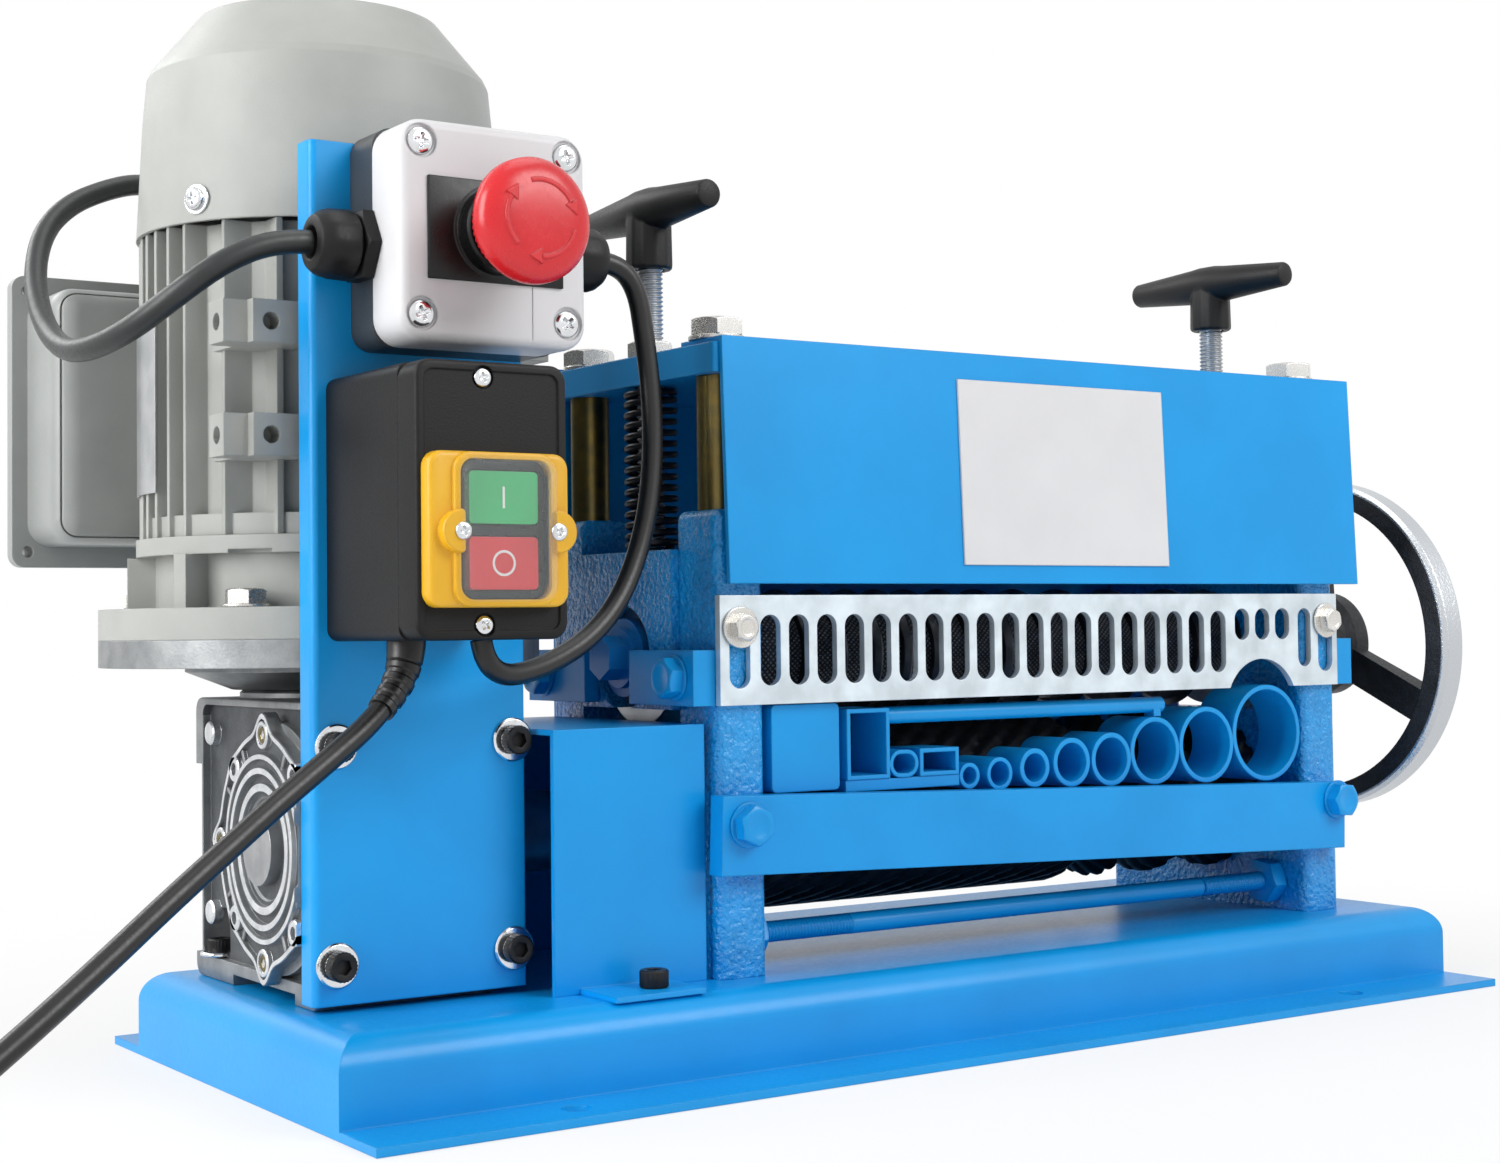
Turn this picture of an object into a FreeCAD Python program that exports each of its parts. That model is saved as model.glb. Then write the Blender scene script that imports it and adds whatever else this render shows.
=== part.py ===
import FreeCAD, Part
import math
import os
import re
import Sketcher
from FreeCAD import Placement, Rotation, Vector

# Wire stripping machine, in millimetres, +Z up.
# Every position is measured from the head's corner: x from the left side plate's outer face, y from
# the side plates' front faces, z from the bench. Each node is then moved so that the origin lies on
# the bench under the middle of the base tray.

SIZES = {
    "tray_long": 520, "tray_deep": 182, "tray_high": 31, "tray_sheet": 3, "tray_edge": 11,
    "flange_deep": 27, "flange_slot_x": 184, "flange_slot_y": 105, "flange_slot_r": 5,
    "head_x": -102, "head_y": -66,
    "plate_thick": 21, "plate_gap": 283, "plate_deep": 121, "plate_top": 200, "upright_deep": 25,
    "slot_floor": 118, "shaft_y": 60.5, "blade_z": 146, "feed_z": 83,
    "post_front": 14, "post_back": 107, "post_inset": 10.5, "tube_r": 7.75, "tube_bore": 6.3,
    "bolt_r": 6, "bolt_across": 18.5, "bolt_head": 6.5, "washer_r": 10.4, "washer_thick": 1.6,
    "bar_top": 249.5, "bar_thick": 11, "bar_back": 121, "bar_front": 0,
    "cover_left": 2, "cover_right": 334, "cover_low": 172.8, "cover_high": 262.5, "cover_sheet": 2,
    "cover_lean": 2.4, "cover_face": -2.1, "cover_lip": 27, "rear_low": 98,
    "label_left": 110.5, "label_wide": 108.5, "label_low": 180, "label_high": 72, "label_sheet": 0.8,
    "block_deep": 70.6, "block_low": 127, "block_high": 59, "block_proud": 3.5,
    "bearing_r": 26, "bearing_bore": 15, "bearing_wide": 13, "lip_r": 20,
    "shaft_r": 14.95, "shaft_core": 17,
    "disc_r": 26, "disc_thick": 4, "ring_r": 21, "ring_small": 17,
    "collar_r": 25, "collar_from": 23, "collar_to": 54.5,
    "roller_r": 36, "roller_from": 23.5, "roller_to": 302.5, "groove_one": 28, "groove_two": 24,
    "groove_three": 18, "gear_x": 337, "gear_wide": 13, "gear_module": 3, "gear_play": 0.12,
    "keeper_gap": 4.2, "keeper_thick": 6.2, "keeper_long": 44, "keeper_low": 129, "keeper_high": 20,
    "small_bolt_r": 4, "small_across": 13, "small_head": 5.3, "small_washer": 8.3,
    "clamp_across": 9, "clamp_head": 4.2, "clamp_washer": 7.5, "clamp_r": 2.9,
    "screw_r": 5.3, "screw_low": 176, "screw_top": 298, "screw_tip_r": 4.5, "nut_low": 262.5,
    "nut_high": 6.5, "stem_nut_across": 16, "stem_r": 8.7, "stem_low": 293, "grip_r": 8.4,
    "grip_half": 43, "grip_left_z": 318, "grip_right_z": 312, "spring_r": 9.2, "spring_wire": 1.3, "spring_turns": 15,
    "zinc_left": -1, "zinc_right": 322.5, "zinc_low": 129, "zinc_high": 39.6, "zinc_thick": 3,
    "tine_first": 21, "tine_pitch": 12.7, "tine_wide": 9, "tine_low": 135.8, "tine_high": 25.7,
    "zinc_bolt_left": 7.5, "zinc_bolt_right": 315, "zinc_bolt_z": 157, "zinc_slot_low": 135,
    "zinc_slot_high": 26, "arch_x": 275.5, "arch_r": 21.5, "zinc_air": 0.4,
    "front_bar_left": -4.4, "front_bar_long": 324, "front_bar_z": 69, "front_bar_high": 28.3,
    "front_bar_thick": 8, "front_bar_tilt": 1.86,
    "rod_y": 20, "rod_z": 43.5, "rod_r": 4, "nut_across": 17, "nut_thick": 8,
    "guide_back": 22, "guide_floor": 99.5, "guide_rod_r": 3.25,
    "guard_left": -65, "guard_right": -3, "guard_face": 4.7, "guard_high": 122.5, "guard_sheet": 2,
    "guard_foot": -19.5, "guard_screw_x": -33, "guard_screw_y": -8, "guard_back": 112,
    "panel_left": -146.1, "panel_right": -67.2, "panel_face": 21.5, "panel_low": 33.5,
    "panel_high": 321.5, "panel_sheet": 3, "panel_lip": 10,
    "case_left": -143, "case_right": -75, "case_front": 25.5, "case_back": 137, "case_low": 31,
    "case_high": 133.5, "case_bore": 32.6, "seat_r": 12.5, "worm_y": 105, "motor_x": -106,
    "cover_hole_ring": 38, "inner_hole_ring": 31.2, "cover_plate": 4.5,
    "wheel_teeth": 30, "wheel_module": 2, "wheel_wide": 18, "worm_r": 14.5, "worm_core": 11.9,
    "flange_r": 80, "adapter_low": 145.2, "motor_low": 154.9, "bell_low": 166, "bell_r": 65.7,
    "bell_high": 191, "body_r": 58, "fin_r": 65, "fin_thick": 2.4, "body_high": 300.3, "cowl_r": 66.4,
    "band_high": 7.5, "pad_low": 216.5, "pad_rise": 38.3, "pad_high": 14.5,
    "cowl_top": 385, "pan_back": 209.5, "pan_left": -190.5, "pan_wide": 169, "pan_low": 183.7,
    "pan_high": 113.8, "pan_front": 170.2, "pan_sheet": 2.5, "pan_lip": 6,
    "stop_left": -131.5, "stop_wide": 69.5, "stop_low": 251, "stop_high": 73, "stop_join": 4.1,
    "stop_front": -16.4, "stop_axis_x": -97, "stop_axis_z": 288.5, "cap_r": 20.5, "cap_face": -49,
    "switch_left": -140.7, "switch_wide": 53.5, "switch_low": 154, "switch_high": 87.6,
    "switch_join": -33.2, "switch_front": -46, "bezel_left": -139, "bezel_wide": 49.5,
    "bezel_low": 164.2, "bezel_high": 48.6, "bezel_front": -52,
    "green_left": -125.2, "green_low": 190.3, "button_wide": 25, "button_high": 16.5,
    "red_left": -125.2, "red_low": 169.7, "button_face": -50.5, "button_air": 0.4,
    "wheel_y": 60.5, "rim_r": 76.5, "rim_from": 377.5, "rim_wide": 15, "hub_from": 352,
    "gland_y": 9.2, "pan_entry_x": -127, "pan_entry_y": 191.5,
    "lead_r": 3.75, "motor_lead_r": 4, "coil_x": -410, "coil_y": -23.5, "coil_mean": 43,
    "coil_step": 8.4, "coil_turns": 2.5, "plug_r": 17,
}

os.makedirs("parts", exist_ok=True)
doc = FreeCAD.newDocument("wire_stripping_machine")
sheet = doc.addObject("Spreadsheet::Sheet", "dims")
for row, (alias, number) in enumerate(SIZES.items(), start=1):
    sheet.set(f"A{row}", alias)
    sheet.set(f"B{row}", str(number))
    sheet.setAlias(f"B{row}", alias)
doc.recompute()

nodes = []


def worth(text):
    """Number that an expression of the sheet's names comes to."""
    return float(sheet.evalExpression(str(text)))


def bound(text):
    """The same expression as another object writes it."""
    return re.sub(r"[a-z]+_[a-z_]+", lambda word: "dims." + word.group(0), str(text))


def bind(thing, prop, text):
    thing.setExpression(prop, bound(text))


# Plain solids. Every length and place is an expression.
TURN = {
    "x": Rotation(Vector(0, 1, 0), 90),
    "y": Rotation(Vector(1, 0, 0), -90),
    "z": Rotation(),
}


def put(thing, x, y, z, turn=None):
    if turn is not None:
        thing.Placement = Placement(Vector(), turn)
    for axis, text in zip("xyz", (x, y, z)):
        bind(thing, "Placement.Base." + axis, text)
    return thing


def box(x, y, z, dx, dy, dz):
    solid = doc.addObject("Part::Box", "box")
    for prop, text in (("Length", dx), ("Width", dy), ("Height", dz)):
        bind(solid, prop, text)
    return put(solid, x, y, z)


def rod(axis, x, y, z, radius, length):
    solid = doc.addObject("Part::Cylinder", "rod")
    bind(solid, "Radius", radius)
    bind(solid, "Height", length)
    return put(solid, x, y, z, TURN[axis])


def hexagon(axis, x, y, z, across, length):
    solid = doc.addObject("Part::Prism", "hexagon")
    solid.Polygon = 6
    bind(solid, "Circumradius", f"({across}) / sqrt(3)")
    bind(solid, "Height", length)
    return put(solid, x, y, z, TURN[axis])


def fuse(*solids):
    joined = doc.addObject("Part::MultiFuse", "fuse")
    joined.Shapes = list(solids)
    return joined


def cut(base, *tools):
    left = doc.addObject("Part::Cut", "cut")
    left.Base = base
    left.Tool = tools[0] if len(tools) == 1 else fuse(*tools)
    return left


def tube(axis, x, y, z, outer, inner, length):
    return cut(rod(axis, x, y, z, outer, length), rod(axis, x, y, z, inner, length))


def rounded(base, radius, wanted):
    """Round the edges whose middle and direction the test accepts."""
    doc.recompute()
    soft = doc.addObject("Part::Fillet", "rounded")
    soft.Base = base
    size = worth(radius)
    picked = []
    for number, edge in enumerate(base.Shape.Edges, start=1):
        middle = edge.CenterOfMass
        along = edge.tangentAt(edge.FirstParameter)
        if wanted(middle, along):
            picked.append((number, size, size))
    soft.Edges = picked
    return soft


def along_y(middle, along):
    return abs(along.y) > 0.9


def along_z(middle, along):
    return abs(along.z) > 0.9


def shaped(name, shape):
    """Piece whose shape is worked out from the sheet in this script."""
    piece = doc.addObject("Part::Feature", name)
    piece.Shape = shape
    return piece


def node(label, *solids):
    """Named sub-part, moved from the head's corner to the part's origin."""
    piece = doc.addObject("Part::Compound", label)
    piece.Label = label
    piece.Links = list(solids)
    bind(piece, "Placement.Base.x", "head_x")
    bind(piece, "Placement.Base.y", "head_y")
    nodes.append(piece)
    return piece


# Sketched bodies.
def plane_of(body, role):
    return [plane for plane in body.Origin.OriginFeatures if plane.Role == role][0]


def outline(body, role, corners):
    """Closed sketch through the corners, each held by its two distances from the origin."""
    sketch = body.newObject("Sketcher::SketchObject", "outline")
    sketch.AttachmentSupport = [(plane_of(body, role), "")]
    sketch.MapMode = "FlatFace"
    spots = [Vector(worth(across), worth(up), 0) for across, up in corners]
    count = len(spots)
    for index in range(count):
        sketch.addGeometry(Part.LineSegment(spots[index], spots[(index + 1) % count]))
    for index in range(count):
        sketch.addConstraint(Sketcher.Constraint("Coincident", index, 2, (index + 1) % count, 1))
    for index, corner in enumerate(corners):
        for kind, text in zip(("DistanceX", "DistanceY"), corner):
            held = sketch.addConstraint(Sketcher.Constraint(kind, -1, 1, index, 1, worth(text)))
            bind(sketch, f"Constraints[{held}]", text)
    return sketch


def turned(axis, x, y, z, corners):
    """Body of revolution: each corner is a distance along the axis and a radius."""
    body = doc.addObject("PartDesign::Body", "turned")
    if axis == "x":
        sketch = outline(body, "XY_Plane", corners)
        line = "H_Axis"
    else:
        sketch = outline(body, "XZ_Plane", [(radius, height) for height, radius in corners])
        line = "V_Axis"
    spun = body.newObject("PartDesign::Revolution", "spun")
    spun.Profile = sketch
    spun.ReferenceAxis = (sketch, [line])
    spun.Angle = 360
    return put(body, x, y, z)


def padded(role, x, y, z, corners, length):
    """Body with one straight pad, centred on its sketch plane."""
    body = doc.addObject("PartDesign::Body", "padded")
    sketch = outline(body, role, corners)
    pad = body.newObject("PartDesign::Pad", "pad")
    pad.Profile = sketch
    pad.Midplane = True
    bind(pad, "Length", length)
    return put(body, x, y, z)


# Fasteners. A bolt is placed at the face that its washer lies on; way is +1 when the head is on the
# axis's positive side.
def shifted(axis, at, step):
    moved = list(at)
    spot = "xyz".index(axis)
    moved[spot] = f"({at[spot]}) + ({step})"
    return moved


def stack(axis, way, at, start, height, make):
    """One solid that begins start away from the face and is height tall, on the head's side."""
    first = start if way > 0 else f"-({start}) - ({height})"
    return make(axis, *shifted(axis, at, first), height)


def hex_bolt(axis, way, at, thread, grip, across, head, washer):
    thick = "washer_thick" if worth(washer) > 9 else "washer_thick * 0.64"
    ring = stack(axis, way, at, "0", thick, lambda a, x, y, z, tall: tube(a, x, y, z, washer,
                                                                     f"{thread} + 0.3", tall))
    top = stack(axis, way, at, thick, head, lambda a, x, y, z, tall: hexagon(a, x, y, z, across, tall))
    shank = stack(axis, -way, at, f"-({thick})", f"{grip} + {thick}",
                  lambda a, x, y, z, tall: rod(a, x, y, z, thread, tall))
    return [fuse(top, shank), ring]


def cap_screw(axis, way, at, thread, grip, head_r, head, washer=None):
    thick = "1.6" if washer else "0"
    solids = []
    if washer:
        solids.append(stack(axis, way, at, "0", thick, lambda a, x, y, z, tall: tube(
            a, x, y, z, washer, f"{thread} + 0.3", tall)))
    top = stack(axis, way, at, thick, head, lambda a, x, y, z, tall: rod(a, x, y, z, head_r, tall))
    key = stack(axis, way, at, f"{thick} + ({head}) * 0.4", f"({head}) * 0.6 + 1",
                lambda a, x, y, z, tall: hexagon(a, x, y, z, f"({head_r}) * 0.95", tall))
    shank = stack(axis, -way, at, f"-({thick})", f"{grip} + {thick}",
                  lambda a, x, y, z, tall: rod(a, x, y, z, thread, tall))
    solids.append(fuse(cut(top, key), shank))
    return solids


# Paths of round wire. A biarc joins two spots with given directions by two tangent arcs.
def arc_between(first, corner, last):
    middle = (first + last) * 0.5
    reach = corner - middle
    half = (last - first).Length / 2
    lean = math.atan2(reach.Length, half)
    top = middle + reach * (half * math.tan(lean / 2) / reach.Length)
    return Part.Arc(first, top, last).toShape()


def biarc(first, first_way, last, last_way):
    gap = last - first
    both = first_way + last_way
    square = 2 * (first_way.dot(last_way) - 1)
    slope = -2 * gap.dot(both)
    level = gap.dot(gap)
    if abs(square) < 1e-9:
        reach = -level / slope
    else:
        reach = (-slope - math.sqrt(slope * slope - 4 * square * level)) / (2 * square)
    start = first + first_way * reach
    end = last - last_way * reach
    join = (start + end) * 0.5
    return [arc_between(first, start, join), arc_between(join, end, last)]


def wire_through(spots, ways):
    edges = []
    for index in range(len(spots) - 1):
        edges += biarc(spots[index], ways[index], spots[index + 1], ways[index + 1])
    return edges


def sweep_round(edges, start, way, radius):
    path = Part.Wire(edges)
    ring = Part.Wire([Part.Circle(start, way, radius).toShape()])
    return path.makePipeShell([ring], True, False)


def cord_path(points):
    """Straight runs joined by tangent arcs, as large as the runs allow."""
    spots = [Vector(*point) for point in points]
    edges = []
    radii = []
    here = spots[0]
    for before, corner, after in zip(spots, spots[1:], spots[2:]):
        into = (corner - before).normalize()
        out = (after - corner).normalize()
        shorter = min((corner - before).Length, (after - corner).Length)
        reach = 0.45 * shorter
        radii.append(reach / math.tan(into.getAngle(out) / 2))
        start = corner - into * reach
        end = corner + out * reach
        edges.append(Part.LineSegment(here, start).toShape())
        edges.append(arc_between(start, corner, end))
        here = end
    edges.append(Part.LineSegment(here, spots[-1]).toShape())
    return edges, radii


def cord(name, points, radius):
    edges, radii = cord_path(points)
    first = Vector(*points[0])
    solid = sweep_round(edges, first, Vector(*points[1]) - first, radius)
    length = sum(edge.Length for edge in edges)
    print(name, "radii", [round(size, 1) for size in radii])
    print(name, "length", round(length, 1), "volume ratio",
          round(solid.Volume / (math.pi * radius * radius * length), 4))
    return shaped(name, solid)


# Base tray: a pan turned over, with a bench flange along its front and back.
tray_x = "-head_x"
tray_y = "-head_y"


def base_tray():
    left = f"{tray_x} - tray_long / 2"
    front = f"{tray_y} - tray_deep / 2"
    outer = rounded(box(left, front, "0", "tray_long", "tray_deep", "tray_high"), "tray_edge",
                    lambda middle, along: middle.z > 30 and abs(along.z) < 0.1)
    inner = rounded(box(f"{left} + tray_sheet", f"{front} + tray_sheet", "-5", "tray_long - 2 * tray_sheet",
                        "tray_deep - 2 * tray_sheet", "tray_high - tray_sheet + 5"),
                    "tray_edge - tray_sheet", lambda middle, along: middle.z > 20 and abs(along.z) < 0.1)
    flanges = [
        box(left, f"{front} - flange_deep", "0", "tray_long", "flange_deep + 1", "tray_sheet"),
        box(left, f"{tray_y} + tray_deep / 2 - 1", "0", "tray_long", "flange_deep + 1", "tray_sheet"),
    ]
    holes = [rod("z", f"{tray_x} + {side} * flange_slot_x", f"{tray_y} + {end} * flange_slot_y", "-1",
                 "flange_slot_r", "tray_sheet + 2") for side in (-1, 1) for end in (-1, 1)]
    holes.append(rod("z", "guard_screw_x", "guard_screw_y", "tray_high - 5", "3.1", "6"))
    node("base_tray", cut(fuse(cut(outer, inner), *flanges), *holes))


# Side plates, each an open U that holds the sliding block over a bearing seat.
def side_plate(label, x):
    plate = rounded(box(x, "0", "tray_high", "plate_thick", "plate_deep", "plate_top - tray_high"), "4",
                    lambda middle, along: abs(along.z) > 0.9 or middle.z > 199)
    slot = box(f"{x} - 1", "upright_deep", "slot_floor", "plate_thick + 2",
               "plate_deep - 2 * upright_deep", "100")
    seat = rod("x", f"{x} - 1", "shaft_y", "feed_z", "bearing_r", "plate_thick + 2")
    rod_hole = rod("x", f"{x} - 1", "rod_y", "rod_z", "rod_r + 0.3", "plate_thick + 2")
    posts = [rod("z", f"{x} + post_inset", y, "plate_top - 40", "bolt_r + 0.1", "41")
             for y in ("post_front", "post_back")]
    node(label, cut(plate, slot, seat, rod_hole, *posts, *plate_screw_holes(x)))


def plate_screw_holes(x):
    """Tapped holes for the straps, the slot plate and the front bar."""
    outer = f"{x} - 1" if x == "0" else f"{x} + plate_thick - 14"
    bar_z = "front_bar_z + 17.5" if x == "0" else "front_bar_z + 10.5"
    bar_x = "zinc_bolt_left" if x == "0" else "zinc_bolt_right"
    holes = [rod("x", outer, y, "keeper_low + keeper_high / 2", "small_bolt_r + 0.1", "15")
             for y in ("12", "plate_deep - 12")]
    holes.append(rod("y", bar_x, "-1", "zinc_bolt_z", "small_bolt_r + 0.1", "19"))
    holes.append(rod("y", bar_x, "-1", bar_z, "small_bolt_r + 0.1", "19"))
    return holes


RIGHT_PLATE = "plate_thick + plate_gap"
SPAN = "2 * plate_thick + plate_gap"
POST_X = ("post_inset", f"{SPAN} - post_inset")
POST_Y = ("post_front", "post_back")


def top_plate():
    bar = rounded(box("0", "bar_front", "bar_top", SPAN, "bar_back - bar_front", "bar_thick"), "2", along_z)
    holes = [rod("z", x, y, "bar_top - 1", "bolt_r + 0.3", "bar_thick + 2")
             for x in POST_X for y in POST_Y + ("shaft_y",)]
    node("top_plate", cut(bar, *holes))


def spacer_tubes():
    node("spacer_tubes", *[tube("z", x, y, "plate_top", "tube_r", "tube_bore", "bar_top - plate_top")
                           for x in POST_X for y in POST_Y])


REAR_SCREW_Z = ("110", "255")


def head_covers():
    """Front sheet with a lip on the top plate, leaning out at its foot, and a flat rear sheet."""
    lip_low = "bar_top + bar_thick"
    lip = box("cover_left", "cover_face", lip_low, "cover_right - cover_left", "cover_lip", "cover_sheet")
    face = box("0", "0", "0", "cover_right - cover_left", "cover_sheet", "cover_high - cover_low")
    put(face, "cover_left", f"cover_face + sin({LEAN}) * (cover_low - cover_high)", "cover_low",
        Rotation(Vector(1, 0, 0), -LEAN))
    holes = [rod("z", x, "post_front", f"{lip_low} - 1", "bolt_r + 0.3", "4") for x in POST_X]
    rear = box("cover_left", "plate_deep + 0.05", "rear_low", "cover_right - cover_left", "cover_sheet",
               "cover_high - rear_low")
    rear_holes = [rod("y", x, "plate_deep - 1", z, "3.3", "6") for x in POST_X for z in REAR_SCREW_Z]
    node("head_covers", cut(fuse(lip, face), *holes), cut(rear, *rear_holes))


LEAN = worth("cover_lean")


def label_plate():
    label = box("0", "0", "0", "label_wide", "label_sheet", "label_high")
    foot = f"cover_face + sin({LEAN}) * (label_low - cover_high)"
    put(label, "label_left", f"{foot} - label_sheet - 0.05", "label_low", Rotation(Vector(1, 0, 0), -LEAN))
    node("label_plate", label)


# Straps that keep the sliding blocks in their slots.
def keeper_bars():
    bars = []
    for side in (-1, 1):
        face = "0" if side < 0 else SPAN
        for y, foot_y, hole_y in (("0", "0", "12"), ("plate_deep - keeper_long",
                                                     "plate_deep - upright_deep + 1", "plate_deep - 12")):
            far = f"{face} - keeper_gap - keeper_thick" if side < 0 else f"{face} + keeper_gap"
            near = f"{face} - keeper_gap - 0.1" if side < 0 else face
            strap = box(far, y, "keeper_low", "keeper_thick", "keeper_long", "keeper_high")
            foot = box(near, foot_y, "keeper_low", "keeper_gap + 0.1", "upright_deep - 1", "keeper_high")
            hole = rod("x", f"{face} - 15", hole_y, "keeper_low + keeper_high / 2", "small_bolt_r + 0.1",
                       "30")
            bars.append(cut(fuse(strap, foot), hole))
    node("keeper_bars", *bars)


# Sliding blocks with their ball bearings.
def block_from(side):
    return "-block_proud" if side < 0 else RIGHT_PLATE


def bearing_blocks():
    blocks = []
    for side in (-1, 1):
        x = block_from(side)
        body = box(x, "shaft_y - block_deep / 2", "block_low", "plate_thick + block_proud", "block_deep",
                   "block_high")
        inner = f"{x} + 8" if side < 0 else f"{x} - 1"
        seat = rod("x", inner, "shaft_y", "blade_z", "bearing_r", "plate_thick + block_proud - 7")
        lip = rod("x", f"{x} - 1", "shaft_y", "blade_z", "lip_r", "plate_thick + block_proud + 2")
        screw_x = "post_inset" if side < 0 else f"{SPAN} - post_inset"
        socket = rod("z", screw_x, "shaft_y", "screw_low - 0.3", "screw_tip_r + 0.3", "20")
        blocks.append(cut(body, seat, lip, socket))
    node("bearing_blocks", *blocks)


def ball_bearing(x, z):
    """Sealed bearing as one ring with a groove in each face."""
    return tube("x", x, "shaft_y", z, "bearing_r", "bearing_bore", "bearing_wide")


def bearings():
    seats = ("4", f"{SPAN} - 4 - bearing_wide")
    node("lower_bearings", *[ball_bearing(x, "feed_z") for x in seats])
    seats = ("4.5", f"{RIGHT_PLATE} + 3")
    node("upper_bearings", *[ball_bearing(x, "blade_z") for x in seats])


# Blade shaft and what turns with it.
GUIDE_X = (67.5, 84, 101.5, 116.5, 131.8, 149.9, 169.5, 191, 216, 245, 281)
WIDE_FROM = 200


def blade_shaft():
    shaft = turned("x", "0", "shaft_y", "blade_z", [
        ("-3", "0"), ("-3", "shaft_r"), ("21.5", "shaft_r"), ("21.5", "shaft_core"),
        ("303", "shaft_core"), ("303", "shaft_r"), ("337", "shaft_r"), ("337", "12"),
        ("390", "12"), ("390", "0")])
    washer = rod("x", "-5.5", "shaft_y", "blade_z", "11.5", "2.6")
    head = hexagon("x", "-13.5", "shaft_y", "blade_z", "14.5", "8.1")
    end = hexagon("x", "390", "shaft_y", "blade_z", "19", "8")
    node("blade_shaft", fuse(shaft, washer, head, end))


def disc(x):
    return turned("x", x, "shaft_y", "blade_z", [
        ("-disc_thick / 2", "shaft_core"), ("-disc_thick / 2", "disc_r - 2.5"),
        ("-0.25", "disc_r"), ("0.25", "disc_r"),
        ("disc_thick / 2", "disc_r - 2.5"), ("disc_thick / 2", "shaft_core")])


def blade_discs():
    node("blade_discs", *[disc(x) for x in GUIDE_X])


def spacer_rings():
    collar = tube("x", "collar_from", "shaft_y", "blade_z", "collar_r", "shaft_core",
                  "collar_to - collar_from")
    rings = [collar]
    edges = ["collar_to"] + [f"{x} + disc_thick / 2" for x in GUIDE_X]
    ends = [f"{x} - disc_thick / 2" for x in GUIDE_X] + ["302.5"]
    for start, end in zip(edges, ends):
        wall = "ring_small + 3" if worth(start) > WIDE_FROM else "ring_r"
        rings.append(tube("x", start, "shaft_y", "blade_z", wall, "shaft_core", f"{end} - ({start})"))
    node("spacer_rings", *rings)


def handwheel():
    """Dished wheel: a turned rim and hub joined by three raked spokes."""
    rim = turned("x", "0", "wheel_y", "blade_z", [
        ("rim_from", "rim_r - 9.5"), ("rim_from + 2", "rim_r - 1.5"), ("rim_from + 4", "rim_r"),
        ("rim_from + rim_wide - 1.5", "rim_r"), ("rim_from + rim_wide", "rim_r - 1.5"),
        ("rim_from + rim_wide", "rim_r - 9.5")])
    hub = turned("x", "0", "wheel_y", "blade_z", [
        ("hub_from", "12"), ("hub_from", "20"), ("hub_from + 25", "22"), ("hub_from + 30", "24"),
        ("hub_from + 37.9", "24"), ("hub_from + 37.9", "12")])
    spokes = []
    for turn in range(3):
        spoke = padded("XY_Plane", "0", "wheel_y", "blade_z", [
            ("hub_from + 28", "18"), ("hub_from + 36", "18"), ("rim_from + rim_wide - 2.5", "rim_r - 6"),
            ("rim_from + 1.5", "rim_r - 6")], "15")
        put(spoke, "0", "wheel_y", "blade_z", Rotation(Vector(1, 0, 0), 205 + 120 * turn))
        spokes.append(spoke)
    node("handwheel", fuse(rim, hub, *spokes))


# Feed roller: ribbed barrel with a stepped groove under each wide guide.
def feed_roller():
    grooves = (("groove_one", 216, 13), ("groove_two", 245, 14), ("groove_three", 281, 17))
    corners = [("roller_from", "shaft_core"), ("roller_from", "roller_r")]
    for depth, middle, half in grooves:
        corners += [(f"{middle - half}", "roller_r"), (f"{middle - half / 2}", depth),
                    (f"{middle + half / 2}", depth), (f"{middle + half}", "roller_r")]
    corners += [("roller_to", "roller_r"), ("roller_to", "shaft_core")]
    node("feed_roller", turned("x", "0", "shaft_y", "feed_z", corners))


def lower_shaft():
    node("lower_shaft", turned("x", "0", "shaft_y", "feed_z", [
        ("-150", "0"), ("-150", "seat_r - 0.05"), ("-68", "seat_r - 0.05"), ("-68", "shaft_r"),
        ("22.5", "shaft_r"), ("22.5", "shaft_core"), ("303", "shaft_core"), ("303", "shaft_r"),
        ("337", "shaft_r"), ("337", "12"), ("356", "12"), ("356", "0")]))


def tooth_flank(radius, base, pitch_angle):
    """Half the tooth's angle at this radius, on an involute from the base circle."""
    if radius <= base:
        return pitch_angle
    roll = math.sqrt((radius / base) ** 2 - 1)
    return pitch_angle - (roll - math.atan(roll))


def gear_outline(teeth, module, play, centre_x, twist=0.0, gap_first=False):
    """Closed wire of a 20 degree gear in a plane across X, seen about the X axis."""
    pitch = teeth * module / 2
    base = pitch * math.cos(math.radians(20))
    inv = math.tan(math.radians(20)) - math.radians(20)
    root_half = math.pi / (2 * teeth) - play / pitch + inv
    radii = [pitch - 1.2 * module, max(base, pitch - 0.9 * module), pitch, pitch + module]
    spots = []
    for tooth in range(teeth):
        middle = 2 * math.pi * (tooth + (0.5 if gap_first else 0)) / teeth + twist
        flank = [(radius, tooth_flank(radius, base, root_half)) for radius in radii]
        side = [(radius, middle - half) for radius, half in flank]
        side += [(radius, middle + half) for radius, half in reversed(flank)]
        for radius, angle in side:
            spots.append(Vector(centre_x, radius * math.cos(angle), radius * math.sin(angle)))
    return Part.makePolygon(spots + [spots[0]])


def spur_gear(label, z):
    """Gear of the pair outside the right plate, one tooth straight up."""
    teeth = 21
    module = sheet.gear_module
    wire = gear_outline(teeth, module, sheet.gear_play, 0)
    wide = sheet.gear_wide
    blank = Part.Face(wire).extrude(Vector(wide, 0, 0))
    blank.rotate(Vector(), Vector(1, 0, 0), 90)
    bore = Part.makeCylinder(12, wide, Vector(), Vector(1, 0, 0))
    gear = blank.cut(bore)
    gear.translate(Vector(sheet.gear_x, sheet.shaft_y, z))
    node(label, shaped(label + "_teeth", gear))


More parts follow.
